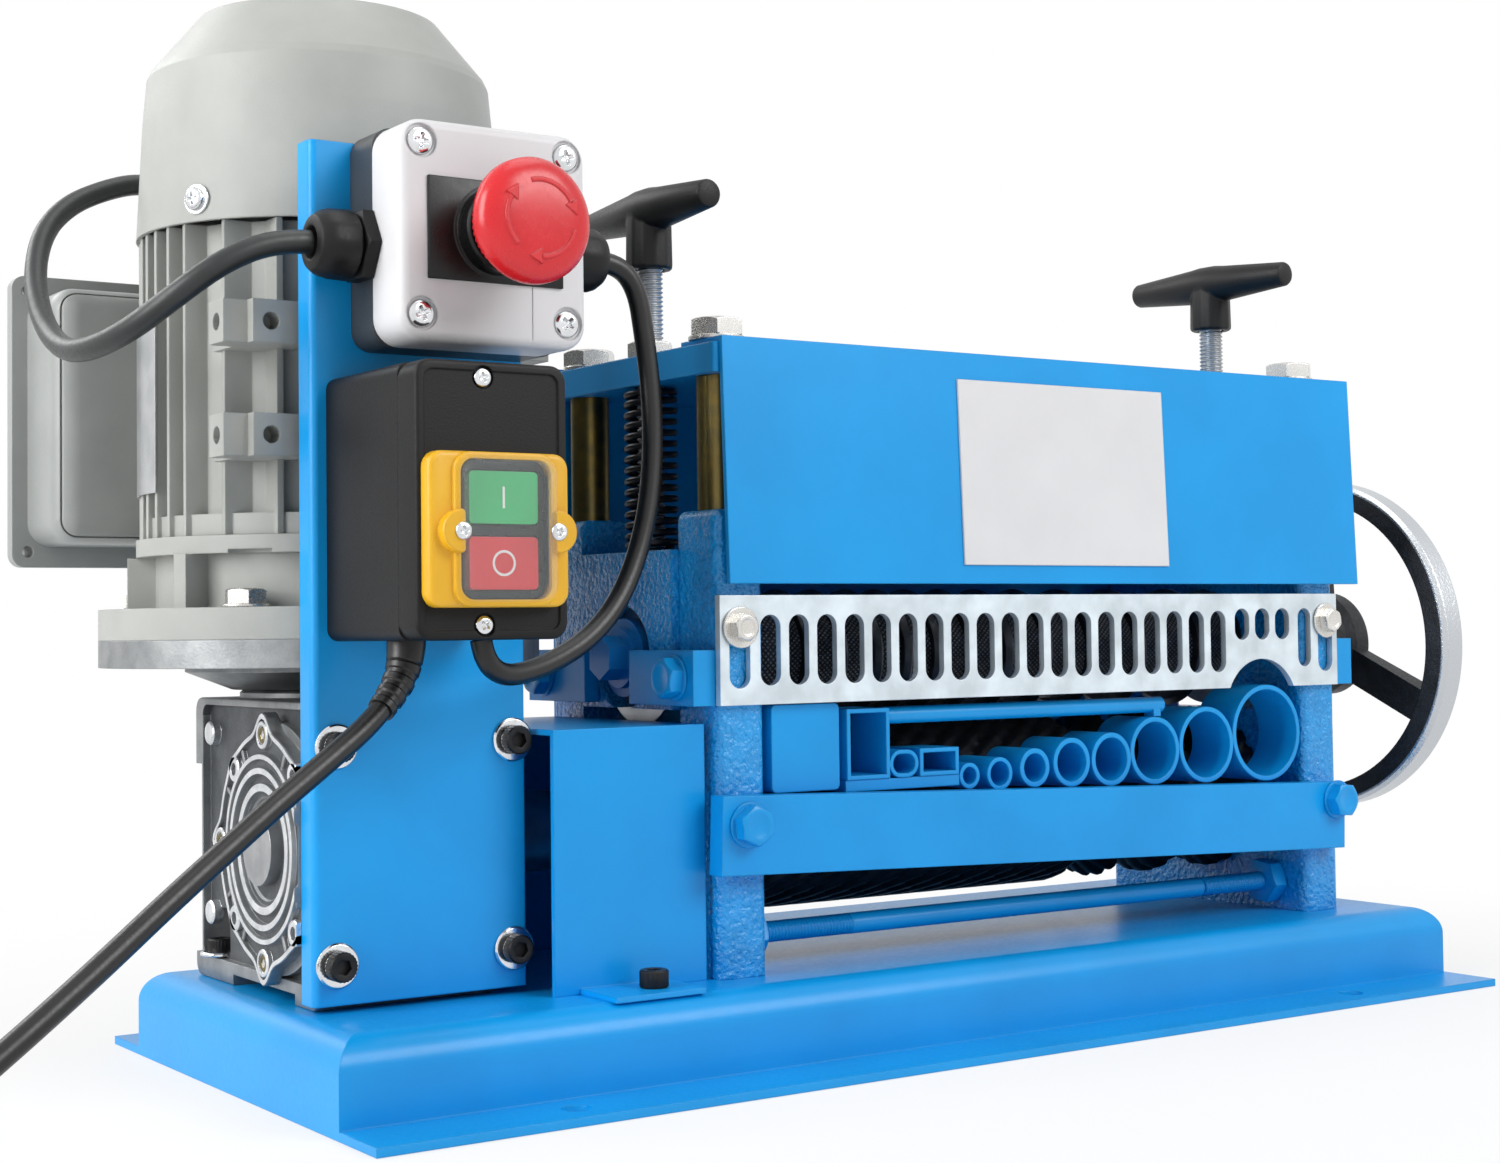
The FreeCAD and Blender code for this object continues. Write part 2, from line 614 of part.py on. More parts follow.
# Worm pair inside the gearbox. The wheel's teeth lean by the worm's lead angle.
def worm_wheel():
    teeth = int(sheet.wheel_teeth)
    module = sheet.wheel_module
    wide = sheet.wheel_wide
    pitch = teeth * module / 2
    lean = module / (2 * sheet.worm_r)
    slices = []
    for step in (-1, 1):
        twist = step * wide / 2 * lean / pitch
        slices.append(gear_outline(teeth, module, 0.35, step * wide / 2, twist, True))
    blank = Part.makeLoft(slices, True, True)
    hub = Part.makeCylinder(19, 62, Vector(-31, 0, 0), Vector(1, 0, 0))
    bore = Part.makeCylinder(sheet.seat_r, 80, Vector(-40, 0, 0), Vector(1, 0, 0))
    wheel = blank.fuse(hub).cut(bore)
    wheel.translate(Vector(sheet.motor_x, sheet.shaft_y, sheet.feed_z))
    node("worm_wheel", shaped("wheel_teeth", wheel))


def worm():
    """Right-hand worm, one start, with its ridge facing the wheel's middle gap."""
    lead = math.pi * sheet.wheel_module
    core = sheet.worm_core
    low = sheet.feed_z - 2 * lead
    spots = []
    ways = []
    quarters = 16
    for step in range(quarters + 1):
        angle = -math.pi / 2 + math.pi / 2 * step
        spots.append(Vector(core * math.cos(angle), core * math.sin(angle), lead * step / 4))
        ways.append(Vector(-core * math.sin(angle), core * math.cos(angle), lead / (2 * math.pi)).normalize())
    path = Part.Wire(wire_through(spots, ways))
    crown = sheet.worm_r + sheet.wheel_module * 0.9
    ridge = Part.makePolygon([Vector(0, -core + 0.6, -1.7), Vector(0, -crown, -0.6), Vector(0, -crown, 0.6),
                              Vector(0, -core + 0.6, 1.7), Vector(0, -core + 0.6, -1.7)])
    sweep = Part.BRepOffsetAPI.MakePipeShell(path)
    sweep.setBiNormalMode(Vector(0, 0, 1))
    sweep.add(ridge)
    sweep.build()
    sweep.makeSolid()
    thread = sweep.shape()
    thread.translate(Vector(0, 0, low))
    shaft = Part.makeCylinder(core, 60, Vector(0, 0, sheet.feed_z - 30))
    shaft = shaft.fuse(Part.makeCylinder(7, 84, Vector(0, 0, sheet.feed_z - 42)))
    screw = shaft.fuse(thread)
    screw.translate(Vector(sheet.motor_x, sheet.worm_y, 0))
    node("worm", shaped("worm_thread", screw))


# Pressure screws: a T-grip on a screw that turns in a captive socket in the block.
def t_handle(label, x, grip_z, lean):
    screw = fuse(rod("z", x, "shaft_y", "screw_low", "screw_tip_r", "12"),
                 rod("z", x, "shaft_y", "screw_low + 11", "screw_r", "screw_top - screw_low - 11"))
    stem = fuse(rod("z", x, "shaft_y", "stem_low", "stem_r", f"{grip_z} - stem_low"),
                hand_grip(x, grip_z, lean))
    inner = fuse(rod("z", x, "shaft_y", "screw_low", "screw_tip_r", "12"),
                 rod("z", x, "shaft_y", "screw_low + 11", "screw_r", "screw_top - screw_low - 11"))
    node(label, screw, cut(stem, inner))


def hand_grip(x, z, lean):
    """Bar of the T, thick over the stem and drawn in toward its domed ends."""
    half = "grip_half"
    grip = turned("x", x, "shaft_y", z, [
        (f"-{half}", "0"), (f"-{half}", "grip_r * 0.46"), (f"-{half} + 1.8", "grip_r * 0.62"),
        ("-9", "grip_r"), ("9", "grip_r"), (f"{half} - 1.8", "grip_r * 0.62"),
        (half, "grip_r * 0.46"), (half, "0")])
    return put(grip, x, "shaft_y", z, Rotation(Vector(0, 0, 1), 90 + lean))


def pressure_springs():
    """Two coils with straight ends, between the blocks and the top plate."""
    wire = sheet.spring_wire
    radius = sheet.spring_r
    low = sheet.block_low + sheet.block_high + wire + 0.25
    high = sheet.bar_top - wire - 0.15
    quarters = int(sheet.spring_turns) * 4
    rise = (high - low) / quarters
    pitch = rise * 4
    print("pressure_springs least gap", round(pitch - 2 * wire, 2))
    coils = []
    for centre in (worth(POST_X[0]), worth(POST_X[1])):
        spots = []
        ways = []
        for step in range(quarters + 1):
            angle = math.pi / 2 * step
            spots.append(Vector(centre + radius * math.cos(angle), sheet.shaft_y + radius * math.sin(angle),
                                low + rise * step))
            ways.append(Vector(-math.sin(angle), math.cos(angle), pitch / (2 * math.pi * radius)).normalize())
        start = spots[0] - ways[0] * 2 * wire
        end = spots[-1] + ways[-1] * 2 * wire
        edges = [Part.LineSegment(start, spots[0]).toShape()]
        edges += wire_through(spots, ways)
        edges.append(Part.LineSegment(spots[-1], end).toShape())
        coils.append(shaped("coil", sweep_round(edges, start, ways[0], wire)))
    node("pressure_springs", *coils)


# Slot plate: the zinc comb that slides up on its two bolts. At its right end are short slots, each
# given by its place, its lowest and highest centre and its radius.
SMALL_SLOTS = [("263.9", "153.5", "158", "4.4"), ("276.1", "153.5", "158", "4.4"),
               ("288.3", "153.5", "158", "4.4"), ("302", "141.2", "158.3", "4")]


def slot_plate():
    body = doc.addObject("PartDesign::Body", "zinc_body")
    sketch = outline(body, "XZ_Plane", [("zinc_left", "zinc_low"), ("zinc_right", "zinc_low"),
                                        ("zinc_right", "zinc_low + zinc_high"),
                                        ("zinc_left", "zinc_low + zinc_high")])
    pad = body.newObject("PartDesign::Pad", "pad")
    pad.Profile = sketch
    bind(pad, "Length", "zinc_thick")
    tine = outline(body, "XZ_Plane", [
        ("tine_first - tine_wide / 2", "tine_low + tine_wide / 2"),
        ("tine_first + tine_wide / 2", "tine_low + tine_wide / 2"),
        ("tine_first + tine_wide / 2", "tine_low + tine_high - tine_wide / 2"),
        ("tine_first - tine_wide / 2", "tine_low + tine_high - tine_wide / 2")])
    pocket = body.newObject("PartDesign::Pocket", "pocket")
    pocket.Profile = tine
    pocket.Type = "ThroughAll"
    pocket.Midplane = True
    row = body.newObject("PartDesign::LinearPattern", "row")
    row.Originals = [pocket]
    row.Direction = (tine, ["H_Axis"])
    row.Occurrences = 19
    bind(row, "Length", "18 * tine_pitch")
    body.Tip = row
    put(body, "0", "-zinc_air", "0")
    rounds = []
    for count in range(19):
        for z in ("tine_low + tine_wide / 2", "tine_low + tine_high - tine_wide / 2"):
            rounds.append(rod("y", f"tine_first + {count} * tine_pitch", "-10", z, "tine_wide / 2", "20"))
    for x, low, high, radius in SMALL_SLOTS:
        rounds += [rod("y", x, "-10", low, radius, "20"), rod("y", x, "-10", high, radius, "20"),
                   box(f"{x} - {radius}", "-10", low, f"2 * {radius}", "20", f"{high} - {low}")]
    for x in ("zinc_bolt_left", "zinc_bolt_right"):
        top = "zinc_slot_low + zinc_slot_high - 4.5"
        rounds += [rod("y", x, "-10", "zinc_slot_low + 4.5", "4.5", "20"),
                   rod("y", x, "-10", top, "4.5", "20"),
                   box(f"{x} - 4.5", "-10", "zinc_slot_low + 4.5", "9", "20", "zinc_slot_high - 9")]
    arch = rod("y", "arch_x", "-10", "zinc_low - 9.5", "arch_r", "20")
    node("slot_plate", cut(body, *rounds, arch))


# Front bar, level with neither plate: its right end sits lower.
TILT = worth("front_bar_tilt")


def front_bar():
    bar = box("0", "0", "0", "front_bar_long", "front_bar_thick", "front_bar_high")
    put(bar, "front_bar_left", "-front_bar_thick - 0.05", "front_bar_z", Rotation(Vector(0, 1, 0), TILT))
    holes = [rod("y", "zinc_bolt_left", "-20", "front_bar_z + 17.5", "small_bolt_r + 0.2", "30"),
             rod("y", "zinc_bolt_right", "-20", "front_bar_z + 10.5", "small_bolt_r + 0.2", "30")]
    node("front_bar", cut(bar, *holes))


ROUND_GUIDES = ((116.5, 98.6, 10), (131.8, 98.7, 12.8), (149.9, 100.2, 15.3), (169.5, 101.5, 19.5),
                (191, 101.8, 21.5), (215.5, 104.3, 27.6), (245.2, 105.6, 31.6), (281.3, 109.3, 40.9))


def square_guide(x, z, wide, high):
    wall = "1.6"
    return cut(box(x, "0", z, wide, "guide_back", high),
               box(f"{x} + {wall}", "-1", f"{z} + {wall}", f"{wide} - 3.2", "guide_back + 2",
                   f"{high} - 3.2"))


def guide_tubes():
    rail = fuse(rod("x", "77", "5", "123", "guide_rod_r", "146"), box("217", "2.2", "118.2", "4", "5.6", "4"))
    guides = [fuse(square_guide("57.5", "guide_floor", "20", "26.5"), rail),
              square_guide("92", "guide_floor", "19", "10.5")]
    oval = fuse(rod("y", "82.7", "0", "guide_floor + 5.2", "5.2", "guide_back"),
                rod("y", "86", "0", "guide_floor + 5.2", "5.2", "guide_back"),
                box("82.7", "0", "guide_floor", "3.3", "guide_back", "10.4"))
    hole = fuse(rod("y", "82.7", "-1", "guide_floor + 5.2", "3.7", "guide_back + 2"),
                rod("y", "86", "-1", "guide_floor + 5.2", "3.7", "guide_back + 2"),
                box("82.7", "-1", "guide_floor + 1.5", "3.3", "guide_back + 2", "7.4"))
    guides.append(cut(oval, hole))
    for x, z, wide in ROUND_GUIDES:
        wall = 1.6 if wide < 15 else 2
        guides.append(tube("y", f"{x}", "0.2", f"{z}", f"{wide / 2}", f"{wide / 2 - wall}", "guide_back"))
    strip = box("57", "0.5", "95.2", "54.5", "18", "4.2")
    node("guide_tubes", *guides, strip)


def guide_block():
    node("guide_block", rounded(box("23.5", "0.3", "96.5", "30.5", "20", "32"), "2", along_y))


def tie_rod():
    node("tie_rod", rod("x", "-14", "rod_y", "rod_z", "rod_r", f"{SPAN} + 28"))


def nuts():
    nuts = []
    for x in ("-nut_thick - 0.05", "plate_thick + 0.05", f"{RIGHT_PLATE} - nut_thick - 0.05",
              f"{SPAN} + 0.05"):
        nuts.append(cut(hexagon("x", x, "rod_y", "rod_z", "nut_across", "nut_thick"),
                        rod("x", f"{x} - 1", "rod_y", "rod_z", "rod_r", "nut_thick + 2")))
    for x in POST_X:
        nuts.append(cut(hexagon("z", x, "shaft_y", "nut_low - 1.95", "stem_nut_across", "nut_high"),
                        rod("z", x, "shaft_y", "nut_low - 3", "screw_r + 0.05", "nut_high + 4")))
    return nuts


def bolts_and_nuts():
    bolts = nuts()
    for x in POST_X:
        for y in POST_Y:
            seat = "cover_high + 0.05" if y == "post_front" else "bar_top + bar_thick + 0.05"
            bolts += hex_bolt("z", 1, (x, y, seat), "bolt_r", "95", "bolt_across", "bolt_head", "washer_r")
    for side in (-1, 1):
        reach = "keeper_gap + keeper_thick + 0.05"
        face = f"-({reach})" if side < 0 else f"{SPAN} + {reach}"
        for y in ("12", "plate_deep - 12"):
            bolts += hex_bolt("x", side, (face, y, "keeper_low + keeper_high / 2"), "small_bolt_r", "22",
                              "small_across", "small_head", "small_washer")
    for x, bar_z in (("zinc_bolt_left", "front_bar_z + 17.5"), ("zinc_bolt_right", "front_bar_z + 10.5")):
        bolts += hex_bolt("y", -1, (x, "-front_bar_thick - 0.15", bar_z), "small_bolt_r", "22",
                          "small_across", "small_head", "small_washer")
        bolts += hex_bolt("y", -1, (x, "-zinc_thick - 2 * zinc_air", "zinc_bolt_z"), "clamp_r", "18",
                          "clamp_across", "clamp_head", "clamp_washer")
    for turn in range(4):
        angle = 45 + 90 * turn
        x = f"motor_x + 70 * cos({angle})"
        y = f"worm_y + 70 * sin({angle})"
        bolts += hex_bolt("z", 1, (x, y, "bell_low + 0.05"), "small_bolt_r", "26", "small_across",
                          "small_head", "small_washer")
    node("bolts_and_nuts", *bolts)


# Blue guard over the shaft between gearbox and head, open at its back and ends.
def drive_guard():
    face = box("guard_left", "guard_face", "tray_high", "guard_right - guard_left", "guard_sheet",
               "guard_high - tray_high")
    roof = box("guard_left", "guard_face", "guard_high - guard_sheet", "guard_right - guard_left",
               "guard_back - guard_face", "guard_sheet")
    back = box("guard_left", "guard_back - guard_sheet", "tray_high", "guard_right - guard_left",
               "guard_sheet", "guard_high - tray_high")
    foot = box("guard_left + 10", "guard_foot", "tray_high", "guard_right - guard_left - 26",
               "guard_face - guard_foot + 1", "guard_sheet")
    hole = rod("z", "guard_screw_x", "guard_screw_y", "tray_high - 1", "3.3", "5")
    node("drive_guard", cut(fuse(face, roof, back, foot), hole))


# Bracket that stands on the gearbox's front and carries both boxes, its left edge folded back.
SCREW_X = ("-137.5", "-72")
SCREW_Z = ("46.5", "119")


def panel_bracket():
    face = box("panel_left", "panel_face", "panel_low", "panel_right - panel_left", "panel_sheet",
               "panel_high - panel_low")
    lip = box("panel_left", "panel_face", "panel_low", "panel_sheet", "panel_lip",
              "panel_high - panel_low")
    folded = rounded(fuse(face, lip), "2.5", lambda middle, along: abs(along.z) > 0.9 and
                     middle.x < worth("panel_left") + 0.1 and middle.y < worth("panel_face") + 0.1)
    holes = [rod("y", x, "panel_face - 1", z, "3.3", "panel_sheet + 2") for x in SCREW_X for z in SCREW_Z]
    node("panel_bracket", cut(folded, *holes))


# Gearbox: casing with a cover at each end of its hollow output.
def gearbox_housing():
    casing = rounded(box("case_left", "case_front", "case_low", "case_right - case_left",
                         "case_back - case_front", "case_high - case_low"), "6",
                     lambda middle, along: abs(along.x) > 0.9 and middle.z > 100)
    neck = rod("z", "motor_x", "worm_y", "case_high - 1", "30", "4")
    lugs = [box("-85", "panel_face + panel_sheet + 0.05", f"{z} - 7", "18", "9.4", "14") for z in SCREW_Z]
    lugs += [box("case_left + 0.3", "panel_face + panel_sheet + 0.05", f"{z} - 7", "12", "9.6", "14")
             for z in SCREW_Z]
    tools = [rod("x", "case_left - 1", "shaft_y", "feed_z", "case_bore", "case_right - case_left + 2"),
             rod("z", "motor_x", "worm_y", "case_low + 6", "17.5", "110"),
             box("case_left - 1", "case_back - 14", "case_low - 1", "80", "16", "24")]
    feet = [box("case_left - 1", "case_front + 19", "case_low - 1", "80", "56", "5")]
    node("gearbox_housing", cut(fuse(casing, neck, *lugs), *tools, *feet, *gearbox_holes()))


def gearbox_holes():
    holes = [rod("y", x, "case_front - 5", z, "3.1", "18") for x in SCREW_X for z in SCREW_Z]
    holes += [rod("z", "motor_x - 26", y, "case_low - 1", "3.2", "14") for y in ("34", "116")]
    return holes


def gearbox_cover(x, way, disc_r, hole_ring, ear_r):
    """Lobed cover: a disc with four ears on the hole circle, and a boss round the seal."""
    plate = "cover_plate"
    low = x if way > 0 else f"{x} - {plate}"
    solids = [rod("x", low, "shaft_y", "feed_z", disc_r, plate)]
    holes = []
    for turn in range(4):
        y = f"shaft_y + {hole_ring} * cos({90 * turn})"
        z = f"feed_z + {hole_ring} * sin({90 * turn})"
        solids.append(rod("x", low, y, z, ear_r, plate))
        holes.append(rod("x", f"{low} - 1", y, z, "2.7", f"{plate} + 2"))
    spigot = f"{x} - 8" if way > 0 else x
    solids.append(rod("x", spigot, "shaft_y", "feed_z", "case_bore - 0.1", "8"))
    boss = f"{x} + {plate} - 0.5" if way > 0 else f"{x} - {plate} - 1.5"
    solids.append(rod("x", boss, "shaft_y", "feed_z", f"{hole_ring} - 6.5", "2"))
    return cut(fuse(*solids), rod("x", f"{x} - 30", "shaft_y", "feed_z", "19.3", "60"), *holes)


# The left cover is cut flat where the bracket's folded edge passes.
def gearbox_covers():
    passing = box("case_left - 10", "0", "feed_z - 60", "10", "panel_face + panel_lip + 0.1", "120")
    node("gearbox_covers", cut(gearbox_cover("case_left", -1, "39", "cover_hole_ring", "6.6"), passing),
         gearbox_cover("case_right", 1, "35.7", "inner_hole_ring", "4.5"))


def motor_adapter():
    cone = turned("z", "motor_x", "worm_y", "0", [
        ("case_high + 3.1", "12"), ("case_high + 3.1", "33"), ("143.2", "49.6"), ("adapter_low", "49.6"),
        ("adapter_low", "flange_r"), ("motor_low", "flange_r"), ("motor_low", "12")])
    holes = [rod("z", f"motor_x + 70 * cos({45 + 90 * turn})", f"worm_y + 70 * sin({45 + 90 * turn})",
                 "adapter_low - 1", "small_bolt_r + 0.2", "20") for turn in range(4)]
    node("motor_adapter", cut(cone, *holes))


def motor_end_bell():
    bell = turned("z", "motor_x", "worm_y", "0", [
        ("motor_low + 0.05", "16"), ("motor_low + 0.05", "flange_r"), ("bell_low", "flange_r"),
        ("bell_low", "bell_r - 6"), ("bell_low + 18.7", "bell_r - 6"), ("bell_low + 18.7", "bell_r + 1"),
        ("bell_high", "bell_r + 1"), ("bell_high", "54"), ("bell_low + 14", "54"), ("bell_low + 8", "16")])
    ribs = []
    for turn in range(8):
        angle = 22.5 + 45 * turn
        rib = box("0", "0", "0", "6", "12", "18.7")
        ribs.append(put(rib, f"motor_x - 3 * cos({angle}) - (bell_r - 8) * sin({angle})",
                        f"worm_y - 3 * sin({angle}) + (bell_r - 8) * cos({angle})", "bell_low",
                        Rotation(Vector(0, 0, 1), angle)))
    holes = [rod("z", f"motor_x + 70 * cos({45 + 90 * turn})", f"worm_y + 70 * sin({45 + 90 * turn})",
                 "motor_low - 1", "small_bolt_r + 0.2", "20") for turn in range(4)]
    clear = [rod("z", f"motor_x + 70 * cos({45 + 90 * turn})", f"worm_y + 70 * sin({45 + 90 * turn})",
                 "bell_low", "small_washer + 0.6", "20") for turn in range(4)]
    node("motor_end_bell", cut(fuse(bell, *ribs), *holes, *clear))


# Foot pads: outline seen from above the motor's axis, mirrored to the other corner.
PAD_CORNERS = [(-62, -49), (-62, -62), (-53.5, -62), (-53.5, -67), (-32, -67), (-32, -44), (-44, -32),
               (-54, -32), (-54, -49)]
FIN_PLACES = (-38, -22.5, -13.5, -4.5, 4.5, 13.5, 22.5, 38)


def pad_heights():
    return sheet.pad_low, sheet.pad_low + sheet.pad_rise


def foot_pads():
    pads = []
    for height in pad_heights():
        for way in (1, -1):
            corners = [Vector(way * x, y, height) for x, y in PAD_CORNERS]
            face = Part.Face(Part.makePolygon(corners + corners[:1]))
            pads.append(face.extrude(Vector(0, 0, sheet.pad_high)))
    return pads


def pad_holes():
    holes = []
    for height in pad_heights():
        middle = height + sheet.pad_high / 2
        for way in (1, -1):
            holes.append(Part.makeCylinder(3, 9, Vector(way * 47, -68, middle), Vector(0, 1, 0)))
            holes.append(Part.makeCylinder(3, 7, Vector(way * 63, -55.5, middle), Vector(-way, 0, 0)))
    return holes


def motor_body():
    """Tube with straight fins on four sides, foot pads at its front corners, and a seat at its back."""
    low = sheet.bell_high + 0.05
    tall = sheet.body_high - 0.05 - low
    shell = Part.makeCylinder(sheet.body_r, tall, Vector(0, 0, low))
    band = Part.makeCylinder(sheet.fin_r - 1.5, sheet.band_high, Vector(0, 0, low))
    fins = []
    for side in range(4):
        for place in FIN_PLACES:
            reach = math.sqrt(sheet.fin_r ** 2 - place ** 2)
            fin = Part.makeBox(reach - 40, sheet.fin_thick, tall,
                               Vector(40, place - sheet.fin_thick / 2, low))
            fin.rotate(Vector(), Vector(0, 0, 1), 90 * side)
            fins.append(fin)
    seat = Part.makeBox(74, 22, 90, Vector(-37, sheet.body_r - 15, low + 8))
    solid = shell.fuse([band] + fins + [seat] + foot_pads())
    solid = solid.cut([Part.makeCylinder(sheet.body_r - 3.5, tall + 2, Vector(0, 0, low - 1))] + pad_holes())
    solid.translate(Vector(sheet.motor_x, sheet.worm_y, 0))
    node("motor_body", shaped("finned_tube", solid.removeSplitter()))


def motor_inside():
    low = "bell_high + 14"
    core = tube("z", "motor_x", "worm_y", low, "54.3", "34.6", "70")
    windings = [tube("z", "motor_x", "worm_y", z, "52", "38", "13") for z in (f"{low} - 13", f"{low} + 70")]
    node("stator", fuse(core, *windings))
    shaft = rod("z", "motor_x", "worm_y", "case_high - 7.5", "9.5", "193")
    rotor = rod("z", "motor_x", "worm_y", low, "34.2", "70")
    hub = rod("z", "motor_x", "worm_y", "body_high + 12", "16", "18")
    blades = rod("z", "motor_x", "worm_y", "body_high + 14", "52", "3")
    vanes = []
    for turn in range(8):
        vane = box("0", "0", "0", "40", "2.4", "16")
        put(vane, f"motor_x + 12 * cos({45 * turn})", f"worm_y + 12 * sin({45 * turn})", "body_high + 15",
            Rotation(Vector(0, 0, 1), 45 * turn))
        vanes.append(vane)
    node("motor_rotor", fuse(shaft, rotor), cut(fuse(hub, blades, *vanes), rod(
        "z", "motor_x", "worm_y", "body_high", "9.5", "60")))


def fan_cowl():
    cowl = turned("z", "motor_x", "worm_y", "0", [
        ("body_high", "cowl_r - 1.6"), ("body_high", "cowl_r"), ("343", "64.1"), ("359", "62.6"),
        ("362", "61.2"), ("382.5", "44.3"), ("cowl_top", "0"), ("cowl_top - 1.6", "0"),
        ("381", "43"), ("361", "59.6"), ("343", "62.4")])
    node("fan_cowl", cut(cowl, *[rod("z", f"motor_x + {radius} * cos({15 * turn})",
                                     f"worm_y + {radius} * sin({15 * turn})", "360", "2.1", "40")
                                 for radius in (20, 28, 36) for turn in range(24)]))


# Terminal box on the motor's back: a pan with a rim, and its flat lid.
def terminal_box():
    rim_front = "pan_back - 3"
    rim = rounded(box("pan_left", rim_front, "pan_low", "pan_wide", "3", "pan_high"), "5", along_y)
    pan = rounded(box("pan_left + pan_lip", "pan_front", "pan_low + pan_lip + 2", "pan_wide - 2 * pan_lip",
                      "pan_back - pan_front - 1", "pan_high - 2 * pan_lip - 4"), "9",
                  lambda middle, along: abs(along.y) > 0.9 or middle.y < worth("pan_front") + 1)
    hollow = rounded(box("pan_left + pan_lip + pan_sheet", "pan_front + pan_sheet",
                         "pan_low + pan_lip + 2 + pan_sheet", "pan_wide - 2 * (pan_lip + pan_sheet)",
                         "pan_back - pan_front", "pan_high - 2 * (pan_lip + pan_sheet) - 4"), "6.5", along_y)
    entry = rod("z", "pan_entry_x", "pan_entry_y", "pan_low + pan_high - 20", "5", "30")
    node("terminal_box", cut(fuse(rim, pan), hollow, entry, *pan_holes(rim_front)))
    lid = rounded(box("pan_left", "pan_back + 0.05", "pan_low", "pan_wide", "3", "pan_high"), "5", along_y)
    node("terminal_lid", cut(lid, *pan_holes("pan_back")))
    node("run_capacitor", rod("x", "-150", "188", "215", "14", "80"))


def pan_spots():
    return [(f"pan_left + {a}", f"pan_low + {b}") for a in ("6", "pan_wide - 6")
            for b in ("6", "pan_high - 6")]


def pan_holes(front):
    return [rod("y", x, f"{front} - 2", z, "2.2", "9") for x, z in pan_spots()]


# Emergency stop box: grey base, rounded off-white lid and a mushroom button that twists free.
def stop_box():
    base = rounded(box("stop_left", "stop_join", "stop_low", "stop_wide", "panel_face - stop_join - 0.05",
                       "stop_high"), "7", along_y)
    hollow = box("stop_left + 3", "stop_join - 1", "stop_low + 3", "stop_wide - 6",
                 "panel_face - stop_join - 2", "stop_high - 6")
    entries = [rod("x", "stop_left - 1", "gland_y", "284.5", "5", "6"),
               rod("x", "stop_left + stop_wide - 5", "gland_y", "287", "5", "6")]
    node("stop_base", cut(base, hollow, *entries))
    lid = rounded(box("stop_left", "stop_front", "stop_low", "stop_wide", "stop_join - stop_front - 0.05",
                      "stop_high"), "7", lambda middle, along: abs(along.y) > 0.9)
    lid = rounded(lid, "5", lambda middle, along: middle.y < worth("stop_front") + 0.1)
    inside = box("stop_left + 3", "stop_front + 3", "stop_low + 3", "stop_wide - 6",
                 "stop_join - stop_front", "stop_high - 6")
    plate = box("-121.7", "stop_front - 1.2", "271.5", "50", "1.3", "34")
    collar = rod("y", "stop_axis_x", "stop_front - 9", "stop_axis_z", "14.5", "9")
    bore = rod("y", "stop_axis_x", "stop_front - 20", "stop_axis_z", "11.3", "40")
    node("stop_lid", cut(fuse(lid, plate, collar), inside, bore,
                         *[rod("y", x, "-30", z, "2.2", "60") for x, z in STOP_SCREWS]))


STOP_SCREWS = [(x, z) for x in ("-123.5", "-69.5") for z in ("260", "316.5")]


def stop_button():
    """Mushroom cap that twists on a plunger, set out of its collar by its travel."""
    cap = turned("x", "0", "0", "0", [
        ("cap_face", "0"), ("cap_face + 0.6", "10"), ("cap_face + 2.2", "16.5"), ("cap_face + 5", "cap_r"),
        ("cap_face + 14", "cap_r"), ("cap_face + 17", "cap_r - 2"), ("cap_face + 18", "14"),
        ("cap_face + 18", "6.1"), ("cap_face + 8", "6.1"), ("cap_face + 8", "0")])
    put(cap, "stop_axis_x", "0", "stop_axis_z", Rotation(Vector(0, 0, 1), 90))
    node("stop_button", cap)
    plunger = turned("x", "0", "0", "0", [
        ("cap_face + 8.2", "0"), ("cap_face + 8.2", "6"), ("cap_face + 18.3", "6"),
        ("cap_face + 18.3", "11"),
        ("cap_face + 56", "11"), ("cap_face + 56", "0")])
    put(plunger, "stop_axis_x", "0", "stop_axis_z", Rotation(Vector(0, 0, 1), 90))
    node("stop_plunger", plunger)


